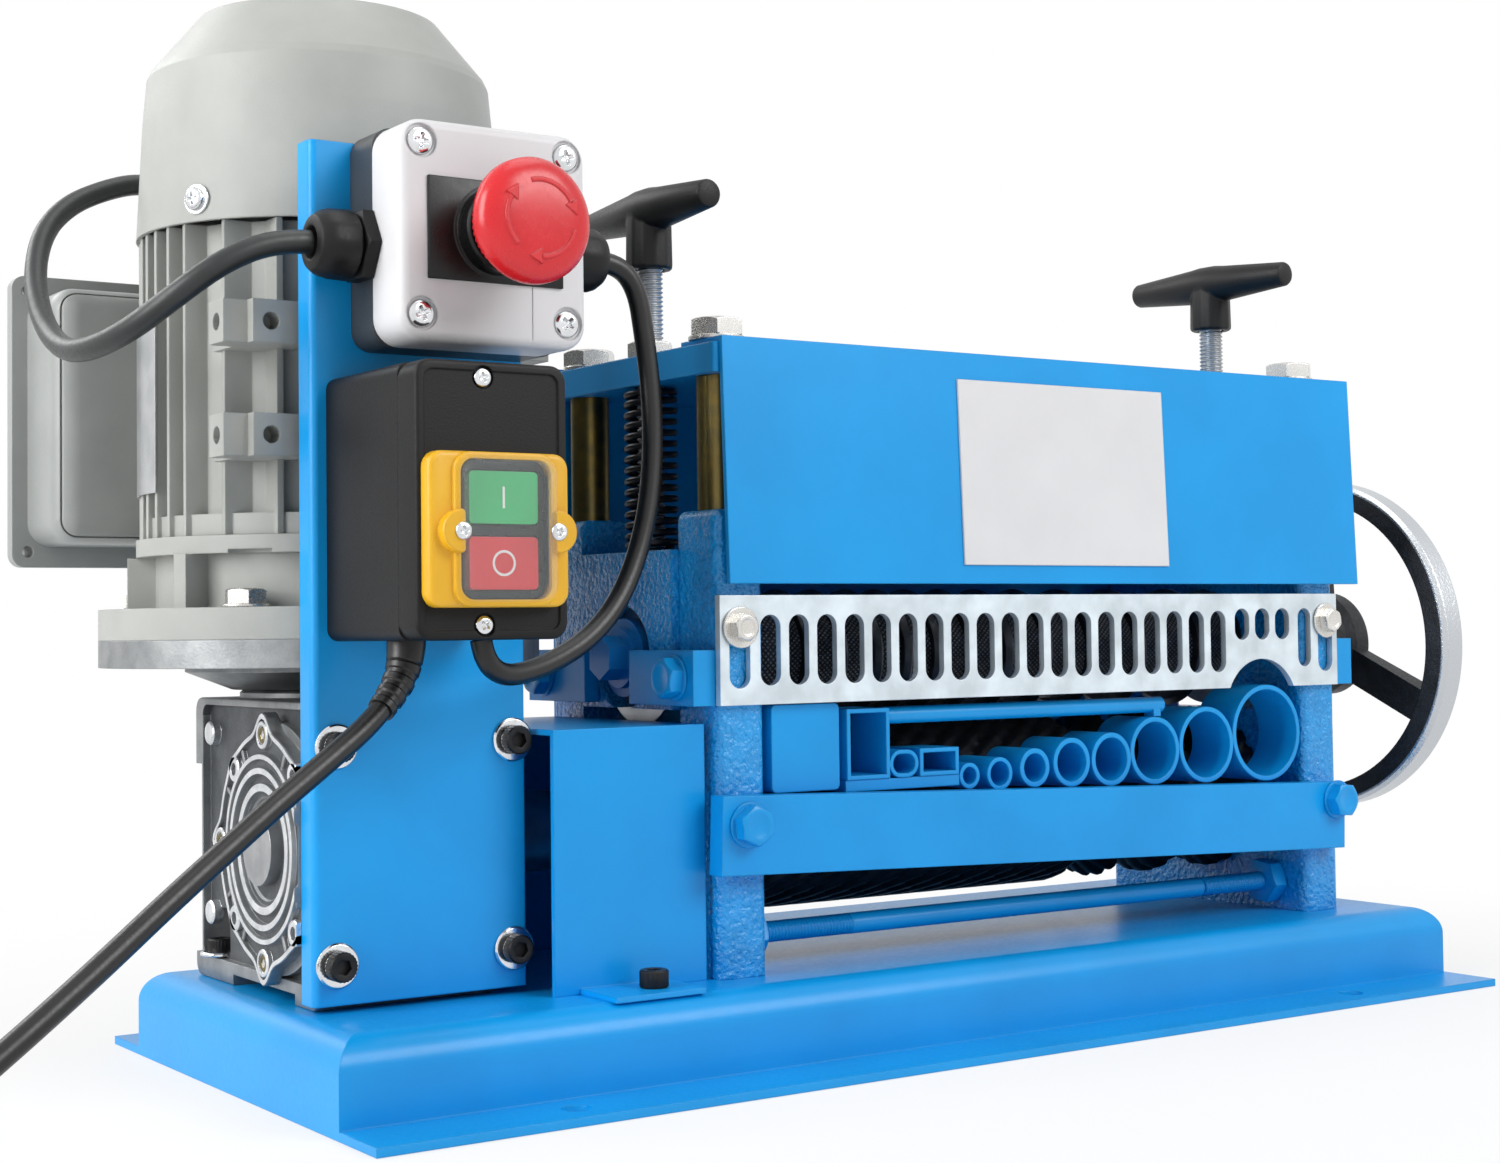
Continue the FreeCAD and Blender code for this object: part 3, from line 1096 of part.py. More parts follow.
# Starter box with its yellow bezel, two buttons and the clear flap over them.
def switch_box():
    depth = "panel_face - switch_join - 0.05"
    base = rounded(box("switch_left", "switch_join", "switch_low", "switch_wide", depth, "switch_high"), "4",
                   along_y)
    hollow = box("switch_left + 2.5", "switch_join - 1", "switch_low + 2.5", "switch_wide - 5",
                 f"{depth} - 2", "switch_high - 5")
    entries = [rod("z", x, y, "switch_low - 1", "3.9", "6") for x, y in SWITCH_CORDS]
    node("switch_base", cut(base, hollow, *entries))
    lid = rounded(box("switch_left", "switch_front", "switch_low", "switch_wide",
                      "switch_join - switch_front - 0.05", "switch_high"), "4", along_y)
    window = box("bezel_left + 8", "switch_front - 1", "bezel_low + 3", "bezel_wide - 14", "30",
                 "bezel_high - 6")
    node("switch_lid", cut(lid, window, *[rod("y", "-117", "-60", z, "2.2", "60") for z in SWITCH_SCREWS]))
    bezel = rounded(box("bezel_left", "bezel_front", "bezel_low", "bezel_wide",
                        "switch_front - bezel_front - 0.05", "bezel_high"), "6", along_y)
    opening = box("bezel_left + 10", "bezel_front - 1", "bezel_low + 3.6", "bezel_wide - 18", "10",
                  "bezel_high - 7.2")
    node("switch_bezel", cut(bezel, opening, *[rod("y", x, "-60", "bezel_low + bezel_high / 2", "1.7", "20")
                                               for x in ("bezel_left + 5", "bezel_left + bezel_wide - 4")]))
    ledge = box("bezel_left + 10.4", "bezel_front + 3.2", "bezel_low + 22.6", "bezel_wide - 18.8", "2.2", "3")
    shell = rounded(box("bezel_left + 9.4", "bezel_front - 6", "bezel_low + 1.6", "bezel_wide - 17", "5.95",
                        "bezel_high - 3.2"), "3", along_y)
    inside = box("bezel_left + 10.8", "bezel_front - 4.6", "bezel_low + 3", "bezel_wide - 19.8", "6",
                 "bezel_high - 6")
    reach = [rod("y", "bezel_left + 26.4", "bezel_front - 8", z, "6.6", "5") for z in
             ("green_low + button_high / 2", "red_low + button_high / 2")]
    node("switch_cover", cut(shell, inside, *reach), ledge)


SWITCH_CORDS = (("-128", "-12"), ("-101", "-12"))
SWITCH_SCREWS = ("158.7", "236.6")


def push_button(label, x, z):
    cap = rounded(box(f"{x} + button_air", "button_face", f"{z}", "button_wide - 2 * button_air", "14",
                      "button_high"), "1.5", along_y)
    node(label, cap)


# Screws with a socket or a cross, most with a washer.
def cap_screws():
    screws = []
    for x in SCREW_X:
        for z in SCREW_Z:
            screws += cap_screw("y", -1, (x, "panel_face - 0.05", z), "3", "11", "5", "6", "6.8")
    screws += cap_screw("z", 1, ("guard_screw_x", "guard_screw_y", "tray_high + guard_sheet + 0.05"), "3",
                        "6", "4.8", "6", "8")
    for x in ("case_left - cover_plate - 0.05", "case_right + cover_plate + 0.05"):
        way, ring = (-1, "cover_hole_ring") if "left" in x else (1, "inner_hole_ring")
        for turn in (0, 1, 3) if way < 0 else range(4):
            at = (x, f"shaft_y + {ring} * cos({90 * turn})", f"feed_z + {ring} * sin({90 * turn})")
            screws += cap_screw("x", way, at, "2.5", "4", "4.3", "2.6")
    for x, z in STOP_SCREWS:
        screws += cap_screw("y", -1, (x, "stop_front - 0.05", z), "2", "18", "3.6", "1.2")
    for z in SWITCH_SCREWS:
        screws += cap_screw("y", -1, ("-117", "switch_front - 0.05", z), "2", "11", "3.6", "1.2")
    for x in ("bezel_left + 5", "bezel_left + bezel_wide - 4"):
        screws += cap_screw("y", -1, (x, "bezel_front - 0.05", "bezel_low + bezel_high / 2"), "1.5",
                            "5.5", "2.7", "1.2")
    for x in POST_X:
        for z in REAR_SCREW_Z:
            screws += cap_screw("y", 1, (x, "plate_deep + cover_sheet + 0.1", z), "2.9", "2", "5.5", "4")
    for x, z in pan_spots():
        screws += cap_screw("y", 1, (x, "pan_back + 3.1", z), "2", "5", "3.6", "1.6")
    for angle in (70, 160, 250, 340):
        at = (f"motor_x + (cowl_r + 0.1) * cos({angle})", f"worm_y + (cowl_r + 0.1) * sin({angle})", "308")
        head = rod("x", "0", "0", "0", "3.8", "2")
        put(head, at[0], at[1], at[2], Rotation(Vector(0, 0, 1), angle) * TURN["x"])
        screws.append(head)
    node("cap_screws", *screws)


# Cable glands: a hexagon, a ribbed cap and the bore that the cord fills.
def gland(axis, way, at, bore):
    solids = [stack(axis, way, at, "0", "5", lambda a, x, y, z, tall: hexagon(a, x, y, z, "22", tall)),
              stack(axis, way, at, "5", "15", lambda a, x, y, z, tall: rod(a, x, y, z, "11.8", tall)),
              stack(axis, way, at, "-4", "4.1", lambda a, x, y, z, tall: rod(a, x, y, z, "4.9", tall))]
    hole = stack(axis, way, at, "-8", "40", lambda a, x, y, z, tall: rod(a, x, y, z, bore, tall))
    return cut(fuse(*solids), hole)


def cable_glands():
    glands = [gland("x", -1, ("stop_left - 0.05", "gland_y", "284.5"), "motor_lead_r"),
              gland("x", 1, ("stop_left + stop_wide + 0.05", "gland_y", "287"), "lead_r"),
              gland("z", 1, ("pan_entry_x", "pan_entry_y", "pan_low + pan_high - pan_lip - 1.9"),
                    "motor_lead_r")]
    node("cable_glands", *glands)


# Cords, each a list of spots chosen along its route.
MOTOR_LEAD = [(-151.6, 9.2, 284.5), (-164, 9.2, 284), (-181, 10.5, 276), (-195, 17, 264), (-204, 33, 254.5),
              (-208.5, 57, 251), (-209, 80, 253), (-208, 102, 261), (-206, 122, 274), (-202, 139, 290),
              (-195, 151, 306), (-183, 160, 318), (-168, 168, 326), (-152, 176, 332),
              (-137, 184, 333), (-128.6, 190, 326), (-127, 191.5, 315), (-127, 191.5, 304)]
LINK_LEAD = [(-41.9, 9.2, 287), (-34, 9.1, 286.5), (-26.5, 9, 278), (-23.5, 9.5, 262),
             (-21, 9.3, 243), (-20.5, 9, 222), (-23, 8.2, 201), (-29, 7, 182), (-39, 4, 165.5),
             (-53, 0.5, 153.5), (-68, -3.5, 146.5), (-82, -7.5, 142.5), (-93, -10.5, 142), (-100, -12, 147.5),
             (-101, -12, 154)]
MAINS_LEAD = [(-128, -12, 154), (-128.5, -12.5, 147), (-133, -14.5, 138.5), (-144, -20, 128.5),
              (-160, -26, 118.5), (-178, -32, 107.5), (-197, -38.5, 95), (-219, -46, 80.5),
              (-241, -53, 65), (-264, -60, 49.5), (-288, -66.5, 34), (-312, -72, 20),
              (-336, -76, 9.5), (-360, -77.5, 4.6), (-384, -77, 3.75), (-410, -77, 3.75)]


def leads():
    node("motor_lead", cord("motor_lead_tube", MOTOR_LEAD, sheet.motor_lead_r))
    node("link_lead", cord("link_lead_tube", LINK_LEAD, sheet.lead_r))
    node("mains_lead", cord("mains_lead_tube", MAINS_LEAD, sheet.lead_r))


def coil_spots():
    """Two layers: in along the bench, a climb in the half turn where it reverses, out on top."""
    radius = sheet.lead_r
    step = sheet.coil_step
    outer = sheet.coil_mean + step * sheet.coil_turns / 2
    quarters = int(sheet.coil_turns * 4)
    spots = []
    rings = [(outer - step * count / 4, radius) for count in range(quarters + 1)]
    inner = rings[-1][0]
    rings.append((inner - step / 4, radius + step / 2))
    rings += [(inner + step * count / 4, radius + step) for count in range(quarters + 1)]
    for index, (ring, height) in enumerate(rings):
        angle = -math.pi / 2 * (index + 1)
        spots.append(Vector(sheet.coil_x + ring * math.cos(angle), sheet.coil_y + ring * math.sin(angle),
                            height))
    ways = []
    for index, spot in enumerate(spots):
        angle = -math.pi / 2 * (index + 1)
        round_way = Vector(math.sin(angle), -math.cos(angle), 0)
        before = rings[max(index - 1, 0)]
        after = rings[min(index + 1, len(rings) - 1)]
        span = 2 if 0 < index < len(rings) - 1 else 1
        outward = (after[0] - before[0]) / span
        rise = (after[1] - before[1]) / span
        arc = math.pi / 2 * rings[index][0]
        out_way = Vector(math.cos(angle), math.sin(angle), 0)
        if index in (0, len(rings) - 1):
            outward = 0
            rise = 0
        ways.append((round_way * arc + out_way * outward + Vector(0, 0, rise)).normalize())
    return list(zip(spots, ways))


def mains_coil():
    radius = sheet.lead_r
    pairs = coil_spots()
    spots = [pair[0] for pair in pairs]
    ways = [pair[1] for pair in pairs]
    tail = spots[-1] + Vector(55, 12, sheet.plug_r - spots[-1].z)
    end = tail + ways[-1] * 2 * radius
    edges = wire_through(spots + [tail], ways + [ways[-1]])
    edges.append(Part.LineSegment(tail, end).toShape())
    solid = sweep_round(edges, spots[0], ways[0], radius)
    points = [point for edge in edges for point in edge.discretize(12)]
    gaps = [(points[a] - points[b]).Length for a in range(len(points))
            for b in range(a + 48, len(points))]
    print("mains_coil least gap", round(min(gaps) - 2 * radius, 2), "length",
          round(sum(edge.Length for edge in edges), 1))
    node("mains_coil", shaped("coil_tube", solid))
    return end, ways[-1]


def mains_plug(start, way):
    """Two-pin plug lying on the bench at the free end."""
    angle = math.degrees(math.atan2(way.y, way.x))
    radius = sheet.plug_r
    body = Part.makeCone(6, radius - 3, 18, Vector(), Vector(1, 0, 0))
    head = Part.makeCylinder(radius, 18, Vector(17.9, 0, 0), Vector(1, 0, 0))
    plug = body.fuse(head)
    pins = [Part.makeCylinder(2.4, 19, Vector(35.8, side * 9.5, 0), Vector(1, 0, 0)) for side in (-1, 1)]
    plug = plug.fuse(pins)
    plug.rotate(Vector(), Vector(0, 0, 1), angle)
    plug.translate(start)
    node("mains_plug", shaped("plug_body", plug))


base_tray()
side_plate("side_plate_left", "0")
side_plate("side_plate_right", RIGHT_PLATE)
top_plate()
spacer_tubes()
head_covers()
label_plate()
keeper_bars()
bearing_blocks()
bearings()
blade_shaft()
blade_discs()
spacer_rings()
handwheel()
feed_roller()
lower_shaft()
spur_gear("lower_gear", sheet.feed_z)
spur_gear("upper_gear", sheet.blade_z)
worm_wheel()
worm()
t_handle("t_handle_left", POST_X[0], "grip_left_z", 0)
t_handle("t_handle_right", POST_X[1], "grip_right_z", 5)
pressure_springs()
slot_plate()
front_bar()
guide_tubes()
guide_block()
tie_rod()
bolts_and_nuts()
drive_guard()
panel_bracket()
gearbox_housing()
gearbox_covers()
motor_adapter()
motor_end_bell()
motor_body()
motor_inside()
fan_cowl()
terminal_box()
stop_box()
stop_button()
switch_box()
push_button("green_button", "green_left", "green_low")
push_button("red_button", "red_left", "red_low")
cap_screws()
cable_glands()
leads()
coil_end, coil_way = mains_coil()
mains_plug(coil_end, coil_way)

doc.recompute()
for thing in doc.Objects:
    if "Invalid" in thing.State or "Error" in thing.State:
        raise RuntimeError(f"{thing.Label} failed: {thing.State}")
for piece in nodes:
    shape = piece.Shape
    if shape.isNull() or not shape.isValid():
        raise RuntimeError(f"{piece.Label} has no sound shape")
    if shape.Volume <= 0:
        raise RuntimeError(f"{piece.Label} has no volume")
    shape.exportStep(f"parts/{piece.Label}.step")
print(len(nodes), "nodes")
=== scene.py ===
import bpy
import bmesh
import math
from mathutils import Matrix, Vector


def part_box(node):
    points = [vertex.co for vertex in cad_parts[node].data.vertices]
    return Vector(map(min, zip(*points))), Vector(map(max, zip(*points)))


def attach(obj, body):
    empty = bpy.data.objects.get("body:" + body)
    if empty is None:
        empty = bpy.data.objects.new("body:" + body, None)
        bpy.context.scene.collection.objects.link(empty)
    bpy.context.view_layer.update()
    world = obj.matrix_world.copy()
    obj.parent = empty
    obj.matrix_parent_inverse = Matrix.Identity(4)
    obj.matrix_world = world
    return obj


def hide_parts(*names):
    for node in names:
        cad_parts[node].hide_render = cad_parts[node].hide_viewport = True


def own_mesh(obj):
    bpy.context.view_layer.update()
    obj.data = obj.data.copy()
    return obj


# Wire stripping machine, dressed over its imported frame.
# Places are in millimetres from the head's corner: x from the left side plate's outer face, y from
# the plates' front faces, z from the bench. spot() turns them to metres in the part's frame.

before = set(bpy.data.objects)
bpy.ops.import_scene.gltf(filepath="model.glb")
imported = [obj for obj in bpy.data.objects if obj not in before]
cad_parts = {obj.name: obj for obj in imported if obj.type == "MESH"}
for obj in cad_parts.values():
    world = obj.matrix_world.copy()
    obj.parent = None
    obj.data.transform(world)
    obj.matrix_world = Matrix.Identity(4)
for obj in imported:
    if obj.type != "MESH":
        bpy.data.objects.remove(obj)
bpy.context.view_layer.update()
headCorner = Vector((-0.102, -0.066, 0.0))
shaftY, rollerZ, bladeZ = 60.5, 83, 146  # centre lines of the feed roller and the blade shaft
motorAxis = (-106, 105)
postsX = (10.5, 314.5)  # middles of the side plates
rodY, rodZ = 20, 43.5
print("frame loaded")


def spot(x, y, z):
    return headCorner + Vector((x, y, z)) / 1000


def hexLinear(code):
    channels = [int(code[i:i + 2], 16) / 255 for i in (0, 2, 4)]
    linear = [c / 12.92 if c <= 0.04045 else ((c + 0.055) / 1.055) ** 2.4 for c in channels]
    return (*linear, 1.0)


def addNode(tree, kind, settings=None, links=None):
    node = tree.nodes.new("ShaderNode" + kind)
    for key, value in (settings or {}).items():
        if isinstance(key, int) or key in node.inputs:
            node.inputs[key].default_value = value
        else:
            setattr(node, key, value)
    for key, socket in (links or {}).items():
        tree.links.new(socket, node.inputs[key])
    return node


def putIn(name, data):
    thing = bpy.data.objects.new(name, data)
    bpy.context.scene.collection.objects.link(thing)
    return thing


def meshObject(name, bm):
    data = bpy.data.meshes.new(name)
    bm.to_mesh(data)
    bm.free()
    return putIn(name, data)


def outward(bm):
    bmesh.ops.recalc_face_normals(bm, faces=bm.faces)


# Shapes are made in millimetres about the origin, then set down with addTo() and finished with newPiece().
# An outline gives a ring's reach at each angle, as a share of its size.
outlines = {
    "round": lambda angle: 1.0,
    "hex": lambda angle: 1 / math.cos((angle + math.pi / 6) % (math.pi / 3) - math.pi / 6),
    "facet": lambda angle: 0.97 / math.cos((angle + math.pi / 12) % (math.pi / 6) - math.pi / 12),
    "cross": lambda angle: max(min(1 / (abs(math.cos(angle)) + 0.01), 0.3 / (abs(math.sin(angle)) + 0.01)),
                               min(1 / (abs(math.sin(angle)) + 0.01), 0.3 / (abs(math.cos(angle)) + 0.01))),
    "knurl": lambda angle: 1 + 0.025 * math.cos(24 * angle),
    "fineRibs": lambda angle: 1 + 0.012 * math.cos(48 * angle),
    "lug": lambda angle: min(1, 0.12 / max(math.cos(angle), 0.12)),
    "ears": lambda angle: (1 + 0.165 * max(0, math.cos(4 * angle)) ** 6
                           + 0.03 * max(0, -math.cos(4 * angle)) ** 8),
}


def openRim(bm):
    return [edge for edge in bm.edges if len(edge.link_faces) == 1]


def ringShape(rings, steps=48):
    # rings of (size, height, outline, slope): the first is capped, each next one drawn out of the last
    bm = bmesh.new()
    bmesh.ops.create_circle(bm, cap_ends=True, segments=steps, radius=1)
    knots = bm.verts[:]
    for index, ring in enumerate(rings):
        size, height, outline, slope = (*ring, *("round", 0)[len(ring) - 2:])
        if index:
            grown = bmesh.ops.extrude_edge_only(bm, edges=openRim(bm))["geom"]
            knots = [part for part in grown if isinstance(part, bmesh.types.BMVert)]
        for knot in knots:
            angle = math.atan2(knot.co.y, knot.co.x)
            reach = size * outlines[outline](angle)
            knot.co = (reach * math.cos(angle), reach * math.sin(angle), height - slope * (reach - size))
    bmesh.ops.edgeloop_fill(bm, edges=openRim(bm))
    outward(bm)
    return bm


def spunShape(profile, steps=48):
    bm = bmesh.new()
    knots = [bm.verts.new((radius, 0, height)) for radius, height in profile]
    line = [bm.edges.new(pair) for pair in zip(knots, knots[1:])]
    bmesh.ops.spin(bm, geom=knots + line, cent=(0, 0, 0), axis=(0, 0, 1), angle=2 * math.pi, steps=steps,
                   use_merge=True)
    bmesh.ops.remove_doubles(bm, verts=bm.verts, dist=0.01)
    outward(bm)
    return bm


def sweptBand(inner, outer, low, high, start, sweep, steps):
    bm = bmesh.new()
    corners = [(inner, low), (outer, low), (outer, high), (inner, high)]
    face = bm.faces.new([bm.verts.new((out * math.cos(start), out * math.sin(start), height))
                         for out, height in corners])
    bmesh.ops.spin(bm, geom=[face] + face.edges[:] + face.verts[:], cent=(0, 0, 0), axis=(0, 0, 1),
                   angle=sweep, steps=steps, use_merge=False)
    return bm


def threadShape(radius, depth, pitch, low, high, steps=24):
    turns = round((high - low) / pitch)
    root = radius - depth
    profile = [(root, 0), (radius, 0.38), (radius, 0.5), (root, 0.88), (root, 1)]
    bm = bmesh.new()
    knots = [bm.verts.new((across, 0, low + up * pitch)) for across, up in profile]
    line = [bm.edges.new(pair) for pair in zip(knots, knots[1:])]
    bmesh.ops.spin(bm, geom=knots + line, cent=(0, 0, 0), axis=(0, 0, 1), dvec=(0, 0, pitch / steps),
                   angle=2 * math.pi * turns, steps=steps * turns, use_merge=False)
    bmesh.ops.remove_doubles(bm, verts=bm.verts, dist=0.02)
    bmesh.ops.holes_fill(bm, edges=bm.edges, sides=0)
    outward(bm)
    return bm


def softenEdges(bm, edges, offset, segments=2):
    bmesh.ops.bevel(bm, geom=edges, offset=offset, offset_type="OFFSET", segments=segments, profile=0.5,
                    affect="EDGES", material=-1, clamp_overlap=True)


def blockShape(low, high, soft=0.0):
    bm = bmesh.new()
    low, high = Vector(low), Vector(high)
    bmesh.ops.create_cube(bm, size=1, matrix=Matrix.Translation((low + high) / 2)
                          @ Matrix.Diagonal((*(high - low), 1)))
    if soft:
        softenEdges(bm, bm.edges[:], soft)
    return bm


def roundedBox(low, high, axis, corner, rim=0.0):
    bm = blockShape(low, high)
    softenEdges(bm, [edge for edge in bm.edges
                     if abs((edge.verts[1].co - edge.verts[0].co).normalized()[axis]) > 0.9], corner, 8)
    if rim:
        softenEdges(bm, [edge for edge in bm.edges
                         if all(abs(knot.co[axis] - low[axis]) < 0.01 for knot in edge.verts)], rim, 4)
    return bm


def addTo(bm, part, place=(0, 0, 0), way=(0, 0, 1), finish=0, turn=0.0):
    for face in part.faces:
        face.material_index = finish if face.material_index == 0 else face.material_index
    aim = Vector((0, 0, 1)).rotation_difference(Vector(way)).to_matrix().to_4x4()
    part.transform(Matrix.Translation(place) @ aim @ Matrix.Rotation(turn, 4, "Z"))
    held = bpy.data.meshes.new("held")
    part.to_mesh(held)
    part.free()
    bm.from_mesh(held)
    bpy.data.meshes.remove(held)


def carved(bm, tool):
    shapes = []
    for part in (bm, tool):
        outward(part)
        shapes.append(meshObject("rough", part))
    cutter = shapes[0].modifiers.new("cut", "BOOLEAN")
    cutter.object = shapes[1]
    cutter.solver = "EXACT"
    made = bpy.data.meshes.new_from_object(shapes[0].evaluated_get(bpy.context.evaluated_depsgraph_get()))
    done = bmesh.new()
    done.from_mesh(made)
    for shape in shapes:
        data = shape.data
        bpy.data.objects.remove(shape)
        bpy.data.meshes.remove(data)
    bpy.data.meshes.remove(made)
    return done


def newPiece(name, bm, look, body, hides=(), sharp=32):
    bm.transform(Matrix.Translation(headCorner) @ Matrix.Scale(0.001, 4))
    piece = meshObject(name, bm)
    data = piece.data
    for finish in look:
        data.materials.append(paint[finish])
    data.polygons.foreach_set("use_smooth", [True] * len(data.polygons))
    data.set_sharp_from_angle(angle=math.radians(sharp))
    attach(piece, body)
    if hides:
        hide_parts(*hides)
    return piece


# Camera, solved from the photograph.
camera = {
    "place": (-447.5, -678.6, 157.1),
    "yaw": -34.234,
    "pitch": 2.027,
    "roll": -0.695,
    "focalPixels": 2263.5,
    "centre": (748.85, 546.93),
    "frame": (1500, 1163),
}


def setCamera():
    yaw, pitch, roll = (math.radians(camera[k]) for k in ("yaw", "pitch", "roll"))
    ahead = Vector((math.sin(-yaw) * math.cos(pitch), math.cos(yaw) * math.cos(pitch), math.sin(pitch)))
    level = Vector((math.cos(yaw), math.sin(yaw), 0))
    upright = level.cross(ahead)
    right = math.cos(roll) * level + math.sin(roll) * upright
    up = -math.sin(roll) * level + math.cos(roll) * upright
    lens = bpy.data.cameras.new("camera")
    width, height = camera["frame"]
    lens.sensor_width = 36
    lens.lens = camera["focalPixels"] / width * 36
    lens.shift_x = (width / 2 - camera["centre"][0]) / width
    lens.shift_y = (camera["centre"][1] - height / 2) / width
    lens.clip_start = 0.01
    eye = putIn("camera", lens)
    eye.matrix_world = Matrix((
        (right.x, up.x, -ahead.x, 0), (right.y, up.y, -ahead.y, 0), (right.z, up.z, -ahead.z, 0),
        (0, 0, 0, 1)))
    eye.location = spot(*camera["place"])
    bpy.context.scene.camera = eye


setCamera()


